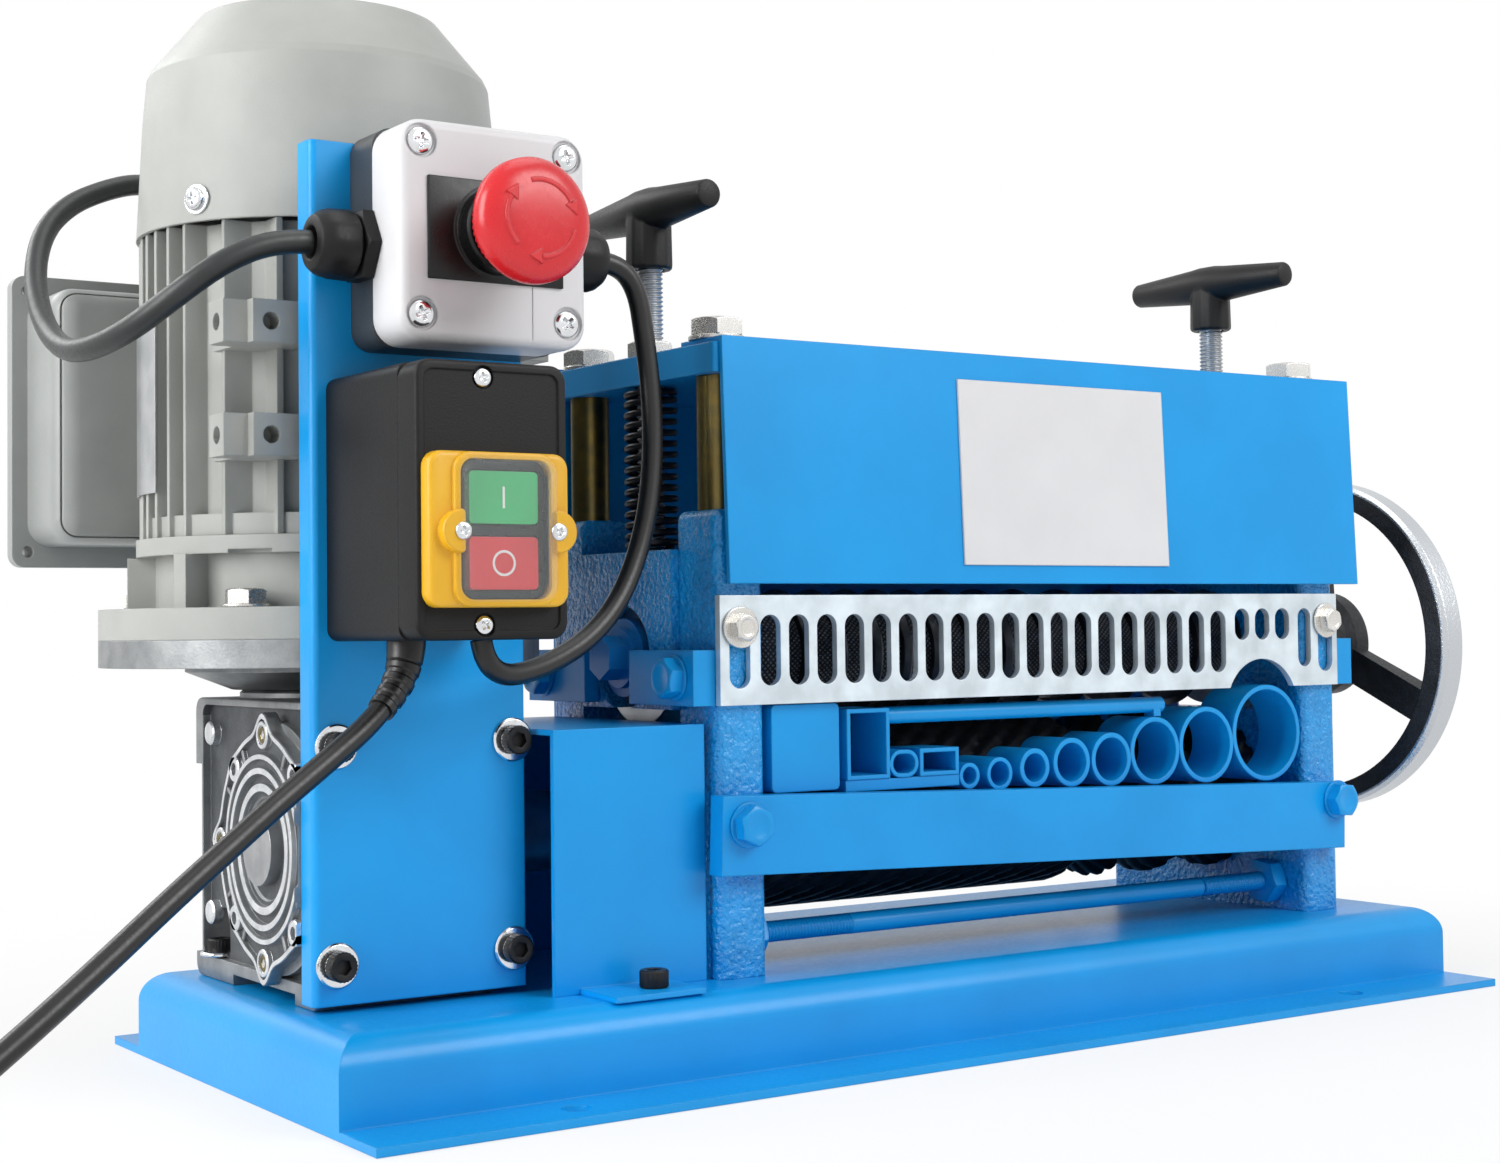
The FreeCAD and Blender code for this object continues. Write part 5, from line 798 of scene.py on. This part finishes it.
# T-handles: glass-filled nylon moulded over the pressure screws.
handles = {
    "left": {"x": 10.5, "gripZ": 318, "hubLow": 295, "lean": 0.0, "body": "left_screw"},
    "right": {"x": 314.5, "gripZ": 312, "hubLow": 290.8, "lean": 5.0, "body": "right_screw"},
    "hubRadius": 9.2, "barEnd": 5.4, "barMiddle": 8.6, "barHalf": 43,
    "screwRadius": 5.3, "threadDepth": 0.75, "pitch": 1.75, "screwLow": 186,
}


def makeHandle(side):
    look = handles[side]
    bm = bmesh.new()
    hub = handles["hubRadius"]
    low, high = look["hubLow"], look["gripZ"]
    addTo(bm, ringShape([(5.6, low + 1.5), (6.2, low), (hub - 0.9, low, "facet"),
                         (hub - 0.1, low + 0.8, "facet"), (hub, low + 2, "facet"),
                         (hub * 0.97, high - 4, "facet"), (hub * 0.8, high + 3)]), (look["x"], shaftY, 0))
    half, end, middle = handles["barHalf"], handles["barEnd"], handles["barMiddle"]
    bar = spunShape([(0, -half), (end - 1.4, -half), (end - 0.5, -half + 0.35), (end, -half + 1.2),
                     (middle * 0.93, -9), (middle, -4), (middle, 4), (middle * 0.93, 9), (end, half - 1.2),
                     (end - 0.5, half - 0.35), (end - 1.4, half), (0, half)], 40)
    lean = math.radians(look["lean"])
    addTo(bm, bar, (look["x"], shaftY, high), (-math.sin(lean), math.cos(lean), 0))
    newPiece(side + "Handle", bm, ["nylonBlack"], look["body"], ("t_handle_" + side,))
    screw = bmesh.new()
    addTo(screw, threadShape(handles["screwRadius"], handles["threadDepth"], handles["pitch"],
                             handles["screwLow"], low + 2), (look["x"], shaftY, 0))
    addTo(screw, ringShape([(3.2, 176.2), (4.4, 177.2), (4.4, 187)]),
          (look["x"], shaftY, 0))
    newPiece(side + "Screw", screw, ["machinedSteel"], look["body"], sharp=20)


# Pressure springs: fifteen coils of oiled wire, the first and last one closed.
springs = {"radius": 9.2, "wire": 1.3, "low": 187.55, "high": 248.05, "steps": 28, "turns": 15,
           "closedRise": 2.75}


def makeSprings():
    bm = bmesh.new()
    steps = springs["steps"]
    closed = springs["closedRise"]
    rise = springs["high"] - springs["low"] - 2 * closed
    stages = [(1, closed), (springs["turns"] - 2, rise), (1, closed)]
    for x in postsX:
        part = bmesh.new()
        start = Matrix.Translation((springs["radius"], 0, springs["low"]))
        bmesh.ops.create_circle(part, cap_ends=True, segments=10, radius=springs["wire"],
                                matrix=start @ Matrix.Rotation(math.pi / 2, 4, "X"))
        last = part.verts[:] + part.edges[:] + part.faces[:]
        for turns, climb in stages:
            count = turns * steps
            last = bmesh.ops.spin(part, geom=last, cent=(0, 0, 0), axis=(0, 0, 1),
                                  dvec=(0, 0, climb / count), angle=2 * math.pi * turns, steps=count,
                                  use_merge=False)["geom_last"]
        outward(part)
        addTo(bm, part, (x, shaftY, 0))
    piece = newPiece("springCoils", bm, ["springSteel"], "frame", ("pressure_springs",))
    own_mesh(piece)


# Emergency stop: off-white lid, black plate and collar, and a red mushroom that twists free.
stopBox = {
    "lidLow": (-131.5, -16.4, 251), "lidHigh": (-62, 4.05, 324), "corner": 9, "rim": 3.2,
    "wellRadius": 5.6, "wellDepth": 1.45, "seam": (-83.1, 271.8),
    "plateLow": (-121.7, -17.5, 271.5), "plateHigh": (-71.7, -16.3, 305.3),
    "axis": (-97, 288.5), "face": -49, "capRadius": 20.5,
    "arrowRing": 12.4, "arrowWide": 1.3, "arrowSweep": 1.35, "arrowStarts": (0.5, 2.6, 4.7),
}


def arrowShape(ring, wide, low, high, sweep):
    bm = sweptBand(ring - wide / 2, ring + wide / 2, low, high, 0, sweep, 16)
    tip = [bm.verts.new((ring + across, along, low)) for across, along in
           ((-wide * 1.9, 0.2), (wide * 1.9, 0.2), (0, -wide * 3.4))]
    tipFace = bm.faces.new(tip)
    raised = bmesh.ops.extrude_face_region(bm, geom=[tipFace])["geom"]
    bmesh.ops.translate(bm, verts=[part for part in raised if isinstance(part, bmesh.types.BMVert)],
                        vec=(0, 0, high - low))
    outward(bm)
    return bm


def makeStopBox():
    lid = roundedBox(stopBox["lidLow"], stopBox["lidHigh"], 1, stopBox["corner"], stopBox["rim"])
    front = stopBox["lidLow"][1]
    wells = bmesh.new()
    for x, _, z in screws["stopLid"]:
        addTo(wells, ringShape([(stopBox["wellRadius"], 0), (stopBox["wellRadius"], 6)]),
              (x, front + stopBox["wellDepth"], z), (0, -1, 0))
    seamX, seamTop = stopBox["seam"]
    addTo(wells, blockShape((seamX - 0.2, front - 1, 250), (seamX + 0.2, front + 0.25, seamTop)))
    newPiece("stopLid", carved(lid, wells), ["offWhiteAbs"], "frame", ("stop_lid",))
    plate = bmesh.new()
    addTo(plate, blockShape(stopBox["plateLow"], stopBox["plateHigh"], 0.3))
    x, z = stopBox["axis"]
    addTo(plate, ringShape([(9, 9), (13.6, 9), (14.4, 8.2), (14.5, 1.5), (15.4, 1.2), (15.6, 0), (9, 0)]),
          (x, front, z), (0, -1, 0))
    newPiece("stopPlate", plate, ["glossBlack"], "frame")
    cap = bmesh.new()
    radius = stopBox["capRadius"]
    addTo(cap, ringShape([(2, 0), (8, -0.2), (13, -0.7), (16.6, -1.7), (18.9, -3.2), (radius - 0.2, -5.2),
                          (radius, -7.2), (radius, -8.6), (radius - 0.6, -9.8), (radius - 1.4, -10.2),
                          (radius - 1.6, -10.8, "fineRibs"), (radius - 4.2, -17.2, "fineRibs"),
                          (radius - 5, -17.8), (6.2, -18)], 96), (x, stopBox["face"], z), (0, -1, 0))
    for start in stopBox["arrowStarts"]:
        arrow = arrowShape(stopBox["arrowRing"], stopBox["arrowWide"], -1.6, -0.15, stopBox["arrowSweep"])
        addTo(cap, arrow, (x, stopBox["face"], z), (0, -1, 0), turn=start)
    newPiece("stopCap", cap, ["redGloss"], "stop_cap", ("stop_button",))


# Starter: black lid with a sunk panel, yellow bezel, two keys behind a clear flap.
starter = {
    "lidLow": (-140.7, -46, 154), "lidHigh": (-87.2, -33.25, 241.6), "border": 3.0, "sunk": 0.7,
    "bezelLow": (-139, -51.2, 164.2), "bezelHigh": (-89.5, -45.3, 212.8),
    "flapLow": (-129.4, -57.8, 165.8), "flapHigh": (-96.4, -51.3, 211.2), "flapWall": 1.1,
    "greenMark": (-112.7, 198.6), "redMark": (-112.7, 178.0), "keyFace": -50.5,
    "keySides": (-125.6, -99.8), "keyFloors": (190.3, 169.7),
}


def makeStarter():
    low, high = Vector(starter["lidLow"]), Vector(starter["lidHigh"])
    lid = roundedBox(low, high, 1, 5.5, 1.3)
    border = starter["border"]
    sunk = roundedBox((low.x + border, low.y - 3, low.z + border),
                      (high.x - border, low.y + starter["sunk"], high.z - border), 1, 3.4)
    wells = bmesh.new()
    for x, _, z in screws["switchLid"]:
        addTo(wells, ringShape([(3.7, 0), (3.7, 8)]), (x, low.y + 1.6, z), (0, -1, 0))
    newPiece("starterLid", carved(carved(lid, sunk), wells), ["blackAbs"], "frame",
             ("switch_lid",))

    bezel = roundedBox(starter["bezelLow"], starter["bezelHigh"], 1, 5, 1.6)
    flapLow, flapHigh = Vector(starter["flapLow"]), Vector(starter["flapHigh"])
    ridge = roundedBox((flapLow.x - 1.6, starter["bezelLow"][1] - 1.6, flapLow.z - 1.4),
                       (flapHigh.x + 1.6, -47, flapHigh.z + 1.4), 1, 6, 0.8)
    shell = bmesh.new()
    for part in (bezel, ridge):
        window = roundedBox((flapLow.x + 0.6, -60, flapLow.z + 0.8),
                            (flapHigh.x - 0.6, -40, flapHigh.z - 0.8), 1, 4.5)
        addTo(shell, carved(part, window))
    for (x, y, z), turn in zip(screws["bezel"], (0, math.pi)):
        addTo(shell, ringShape([(4, 0, "lug"), (6.4, 0, "lug"), (6.8, -0.5, "lug"), (7.0, -9.5, "lug")]),
              (x, y, z), (0, -1, 0), turn=turn)
    newPiece("starterBezel", shell, ["yellowAbs"], "frame", ("switch_bezel",))

    frameShape = blockShape((flapLow.x + 0.4, -48.6, flapLow.z + 0.6),
                            (flapHigh.x - 0.4, -45.2, flapHigh.z - 0.6))
    holes = bmesh.new()
    left, right = starter["keySides"]
    for floor in starter["keyFloors"]:
        addTo(holes, blockShape((left, -60, floor - 0.4), (right, -30, floor + 16.9)))
    newPiece("keyFrame", carved(frameShape, holes), ["glossBlack"], "frame")

    wall = starter["flapWall"]
    flapShape = roundedBox(flapLow, flapHigh, 1, 5.5, 2.6)
    hollow = roundedBox(flapLow + Vector((wall, wall, wall)), flapHigh + Vector((-wall, 2, -wall)),
                        1, 4.4, 1.8)
    newPiece("clearFlap", carved(flapShape, hollow), ["clearVinyl"], "frame",
             ("switch_cover",))

    x, z = starter["greenMark"]
    face = starter["keyFace"]
    bar = blockShape((x - 0.4, face - 0.06, z - 3.4), (x + 0.4, face + 0.3, z + 3.4))
    newPiece("startMark", bar, ["whiteInk"], "start_key")
    x, z = starter["redMark"]
    ring = bmesh.new()
    addTo(ring, spunShape([(3.3, -0.3), (3.3, 0.06), (4.1, 0.06), (4.1, -0.3), (3.3, -0.3)]),
          (x, face, z), (0, -1, 0))
    newPiece("stopMark", ring, ["whiteInk"], "stop_key")


# Cable glands: moulded nuts with a fluted rubber ring round each cord.
glands = [
    {"place": (-131.5, 9.2, 284.5), "way": (-1, 0, 0), "cord": 4.1},
    {"place": (-62, 9.2, 287), "way": (1, 0, 0), "cord": 3.85},
    {"place": (-127, 191.5, 289.6), "way": (0, 0, 1), "cord": 4.1},
]


def makeGlands():
    bm = bmesh.new()
    for gland in glands:
        addTo(bm, ringShape([(8, 5.2), (10.4, 5.2), (11.2, 4.8, "hex", 0.5), (11.2, 0.3, "hex"), (10, 0)]),
              gland["place"], gland["way"])
        cord = gland["cord"]
        addTo(bm, ringShape([(cord, 14), (cord + 0.9, 18.6, "knurl"), (cord + 1.6, 19.8), (cord + 2.6, 20),
                             (9.0, 19.2), (10.7, 16.9), (11.5, 14.2, "facet"), (11.8, 7.2, "facet"),
                             (11, 5.9), (8, 5)]), gland["place"], gland["way"], turn=0.2)
    newPiece("cordGlands", bm, ["nylonBlack"], "frame", ("cable_glands",))


makeBolts()
makeScrews()
makeHandle("left")
makeHandle("right")
makeSprings()
makeStopBox()
makeStarter()
makeGlands()
print("fasteners, handles and switchgear made")

# Gearbox: die-cast housing with a sunk face, and scalloped covers with turned rings.
gearbox = {
    "low": (-143, 25.5, 31), "high": (-75, 137, 133.5), "soft": 5, "sunk": 3.2,
    "passing": 31.6, "footTop": 39.5,
    "sunkLow": (29.5, 39), "sunkHigh": (129.5, 131), "bossRadius": 43.5,
    "pads": [(123.5, 120.5), (123.5, 55), (33.5, 124.5)], "padRadius": 4.4,
    "bossX": (-137.3, -72.2), "bossZ": (46.5, 119), "bossHalf": (5.4, 6.5),
    "lobeRadius": 40.2, "earRing": 39, "innerLobe": 33, "innerRing": 31.2,
}


def coverShape(lobe, ring):
    k = lobe / gearbox["lobeRadius"]
    inner = lobe - 2.0
    shape = ringShape([
        (12.7, 2.6), (17.4, 2.6), (18.0, 3.4), (19.4, 3.6), (19.8, 5.2), (22.4, 5.2), (23.0, 3.6),
        (25.4 * k, 3.6), (25.8 * k, 5.9), (27.8 * k, 5.9), (28.3 * k, 4.2), (30.4 * k, 4.2),
        (30.8 * k, 5.6), (32.4 * k, 5.6), (33 * k, 3.2), (inner, 3.2, "ears"), (inner + 0.2, 5.0, "ears"),
        (lobe - 0.3, 5.0, "ears"), (lobe, 4.6, "ears"), (lobe, 0, "ears")], 144)
    # ring tops take castEdge, and the floors between the rings take castShadow, painted shade
    for face in shape.faces:
        if face.normal.z > 0.8:
            height = face.calc_center_median().z
            face.material_index = 1 if height > 4.9 else 3 if height < 4.3 else 0
    ribs = bmesh.new()
    for rib in range(12):
        if rib % 3:
            side = blockShape((33 * k - 0.5, -0.8, 2.8), (inner - 0.2, 0.8, 4.8), 0.3)
            addTo(ribs, side, turn=math.radians(30 * rib))
    addTo(shape, ribs)
    for turn in range(4):
        angle = math.radians(90 * turn)
        ear = (ring * math.cos(angle), ring * math.sin(angle), 0)
        addTo(shape, ringShape([(3.4, 4.6), (3.4, 5.2), (4.6, 5.2), (4.9, 4.8), (4.9, 3)]), ear, finish=1)
        addTo(shape, ringShape([(1.5, 3.9, "hex"), (1.5, 4.9, "hex"), (2.7, 5.0), (3, 4.6), (3, 4)]), ear,
              finish=2)
        between = angle + math.radians(45)
        addTo(shape, ringShape([(2.3, 3), (2.3, 5), (4.2, 5), (4.6, 4.6), (4.6, 0)]),
              ((ring - 2) * math.cos(between), (ring - 2) * math.sin(between), 0), finish=1)
    return shape


def reachAlongX(edge):
    return abs(edge.verts[0].co.x - edge.verts[1].co.x)


def makeGearbox():
    low, high = Vector(gearbox["low"]), Vector(gearbox["high"])
    case = blockShape(low, high)
    softenEdges(case, [edge for edge in case.edges if reachAlongX(edge) > 1], gearbox["soft"], 5)
    softenEdges(case, [edge for edge in case.edges if reachAlongX(edge) < 0.01], 0.8)
    floorY, floorZ = gearbox["sunkLow"]
    roofY, roofZ = gearbox["sunkHigh"]
    sunk = roundedBox((low.x - 5, floorY, floorZ), (low.x + gearbox["sunk"], roofY, roofZ), 0, 4)
    case = carved(case, sunk)
    case = carved(case, blockShape((low.x - 1, 44.5, 20), (high.x + 1, 100.5, 35)))
    # back edge set in above the foot, and a pocket over the foot's screw
    case = carved(case, blockShape((low.x - 1, 130.5, gearbox["footTop"]), (high.x + 1, 140, 109)))
    case = carved(case, blockShape((low.x - 1, 111, gearbox["footTop"]), (low.x + 12, 129.5, 57), 2))
    # the sunk face's floor takes castShadow, painted shade in the recess
    for face in case.faces:
        middle = face.calc_center_median()
        if floorY < middle.y < roofY and floorZ < middle.z < roofZ and low.x + 1 < middle.x < low.x + 4:
            face.material_index = 1
    for padY, padZ in gearbox["pads"]:
        radius = gearbox["padRadius"]
        addTo(case, ringShape([(radius - 0.6, 0), (radius, -0.6), (radius, -4)]),
              (low.x - 0.1, padY, padZ), (-1, 0, 0), finish=2)
    addTo(case, ringShape([(28.8, 1.4), (30, 0.4), (30, -4)], 64),
          (*motorAxis, 135), (0, 0, 1))
    wide, tall = gearbox["bossHalf"]
    for x in gearbox["bossX"]:
        for z in gearbox["bossZ"]:
            addTo(case, blockShape((x - wide, 24.6, z - tall), (x + wide, 34, z + tall), 1))
    newPiece("gearCase", case, ["dieCastAluminium", "castShadow", "castEdge"], "frame",
             ("gearbox_housing",))
    covers = bmesh.new()
    addTo(covers, coverShape(gearbox["lobeRadius"], gearbox["earRing"]), (low.x, shaftY, rollerZ), (-1, 0, 0))
    boss = gearbox["bossRadius"]
    addTo(covers, ringShape([(20, 0), (boss, 0), (boss, -5), (20, -5)], 72), (low.x, shaftY, rollerZ),
          (-1, 0, 0))
    # cut flat where the bracket's folded edge passes
    bmesh.ops.bisect_plane(covers, geom=covers.verts[:] + covers.edges[:] + covers.faces[:],
                           plane_co=(0, gearbox["passing"], 0), plane_no=(0, 1, 0), clear_inner=True)
    bmesh.ops.holes_fill(covers, edges=[edge for edge in covers.edges if edge.is_boundary])
    addTo(covers, coverShape(gearbox["innerLobe"], gearbox["innerRing"]), (high.x, shaftY, rollerZ),
          (1, 0, 0))
    newPiece("gearCovers", covers, ["dieCastAluminium", "castEdge", "yellowChromate", "castShadow"], "frame",
             ("gearbox_covers",))


# Tie rod: threaded at both ends and painted over with the frame.
tieRod = {"radius": 4, "depth": 0.5, "pitch": 1.5, "ends": ((-14, 71), (259, 338.5))}


def makeTieRod():
    bm = bmesh.new()
    (first, left), (right, last) = tieRod["ends"]
    place = (0, rodY, rodZ)
    core = tieRod["radius"]
    for low, high in tieRod["ends"]:
        addTo(bm, threadShape(core, tieRod["depth"], tieRod["pitch"], low, high, 20), place, (1, 0, 0))
    addTo(bm, ringShape([(3, left - 0.8), (core, left + 0.4), (core, right - 0.4),
                         (3, right + 0.8)]), place, (1, 0, 0))
    newPiece("tieRodPainted", bm, ["enamelBlue"], "frame", ("tie_rod",), 20)


# Feed roller: helical flutes milled in its barrel, and a stepped groove under each wide guide.
roller = {
    "from": 23.5, "to": 302.5, "radius": 36, "grooves": ((216, 13, 28), (245, 14, 24), (281, 17, 18)),
    "flutes": 24, "depth": 2.2, "twist": 0.021, "station": 3.0,
}


def rollerReach(x):
    for middle, half, floor in roller["grooves"]:
        off = abs(x - middle)
        if off < half:
            return max(floor, roller["radius"] - (half - off) / (half / 2) * (roller["radius"] - floor))
    return roller["radius"]


def makeRoller():
    low, high = roller["from"], roller["to"]
    count = int((high - low) / roller["station"])
    stations = [low + (high - low) * index / count for index in range(count + 1)]
    rings = [(17, low), *[(rollerReach(x), x) for x in stations], (17, high)]
    bm = ringShape(rings, roller["flutes"] * 6)
    for knot in bm.verts:
        reach = math.hypot(knot.co.x, knot.co.y)
        if reach > 30:
            angle = math.atan2(knot.co.y, knot.co.x) + roller["twist"] * knot.co.z
            dip = max(0, math.cos(roller["flutes"] * angle)) ** 2 * roller["depth"]
            knot.co.x *= 1 - dip / reach
            knot.co.y *= 1 - dip / reach
    whole = bmesh.new()
    addTo(whole, bm, (0, shaftY, rollerZ), (1, 0, 0))
    newPiece("flutedRoller", whole, ["oiledSteel"], "feed_drive", ("feed_roller",), 50)


# Bare rating plate strapped to the motor's left fins.
ratingPlate = {"radius": 65.6, "thick": 0.7, "from": 150, "sweep": 36, "low": 207, "high": 272}


def makeRatingPlate():
    reach = ratingPlate["radius"]
    bm = sweptBand(reach, reach + ratingPlate["thick"], ratingPlate["low"], ratingPlate["high"],
                   math.radians(ratingPlate["from"]), math.radians(ratingPlate["sweep"]), 12)
    outward(bm)
    bmesh.ops.translate(bm, verts=bm.verts, vec=(*motorAxis, 0))
    newPiece("ratingPlate", bm, ["bareAluminium"], "frame")


makeGearbox()
makeTieRod()
makeRoller()
makeRatingPlate()
print("gearbox, rod, roller and plate made")


# Studio: a floor that goes to plain white away from the object, and broad soft lamps.
studio = {
    "floorNear": 0.66, "fadeFrom": 0.22, "fadeTo": 0.6, "sky": 0.24, "aim": (0, 0, 0.15),
    "lamps": {
        "key": {"place": (0.9, -1.9, 1.5), "size": (1.6, 1.2), "power": 36},
        "fill": {"place": (-1.9, -0.1, 0.9), "size": (1.0, 1.4), "power": 34},
        "rim": {"place": (-0.9, 1.5, 1.4), "size": (1.2, 0.8), "power": 12},
        "top": {"place": (0.2, -0.1, 2.0), "size": (1.4, 1.0), "power": 7},
    },
}


def seenDirectly(tree):
    # 1 for rays that show the background: the camera's, and those off gloss and through glass
    path = addNode(tree, "LightPath")
    either = addNode(tree, "Math", {"operation": "MAXIMUM"},
                     {0: path.outputs["Is Camera Ray"], 1: path.outputs["Is Glossy Ray"]})
    both = addNode(tree, "Math", {"operation": "MAXIMUM"},
                   {0: either.outputs["Value"], 1: path.outputs["Is Transmission Ray"]})
    return both.outputs["Value"]


def makeFloor():
    bm = bmesh.new()
    bmesh.ops.create_grid(bm, x_segments=1, y_segments=1, size=6)
    floor = meshObject("floor", bm)
    floor.location.z = -0.0002
    material = newMaterial("paleFloor", {"Base Color": hexLinear("F4F4F4"), "Roughness": 0.7})
    tree = material.node_tree
    place = addNode(tree, "TexCoord")
    reach = addNode(tree, "VectorMath", {"operation": "LENGTH"}, {0: place.outputs["Object"]})
    fade = addNode(tree, "MapRange", {"interpolation_type": "SMOOTHSTEP", "From Min": studio["fadeFrom"],
                                      "From Max": studio["fadeTo"], "To Min": studio["floorNear"]},
                   {"Value": reach.outputs["Value"]})
    share = addNode(tree, "Math", {"operation": "MULTIPLY"},
                    {0: fade.outputs["Result"], 1: seenDirectly(tree)})
    glow = addNode(tree, "Emission", {"Color": hexLinear("FFFFFF"), "Strength": 1.0})
    mixed = addNode(tree, "MixShader", links={0: share.outputs["Value"], 2: glow.outputs["Emission"],
                                              1: tree.nodes["Principled BSDF"].outputs["BSDF"]})
    tree.links.new(mixed.outputs["Shader"], tree.nodes["Material Output"].inputs["Surface"])
    floor.data.materials.append(material)


def makeSky():
    world = bpy.data.worlds.new("studio")
    bpy.context.scene.world = world
    world.use_nodes = True
    tree = world.node_tree
    background = tree.nodes["Background"]
    background.inputs["Color"].default_value = hexLinear("FFFFFF")
    shown = addNode(tree, "Mix", {"data_type": "FLOAT", "A": studio["sky"], "B": 1.0},
                    {"Factor": seenDirectly(tree)})
    tree.links.new(shown.outputs["Result"], background.inputs["Strength"])


def addLamp(name, place, size, power):
    lamp = bpy.data.lights.new(name, "AREA")
    lamp.shape = "RECTANGLE"
    lamp.size, lamp.size_y = size
    lamp.energy = power
    holder = putIn(name, lamp)
    holder.location = place
    holder.rotation_euler = (Vector(studio["aim"]) - Vector(place)).to_track_quat("-Z", "Y").to_euler()


makeFloor()
makeSky()
for name, lamp in studio["lamps"].items():
    addLamp(name, lamp["place"], lamp["size"], lamp["power"])
bpy.context.scene.view_settings.view_transform = "Standard"
print("studio lit")
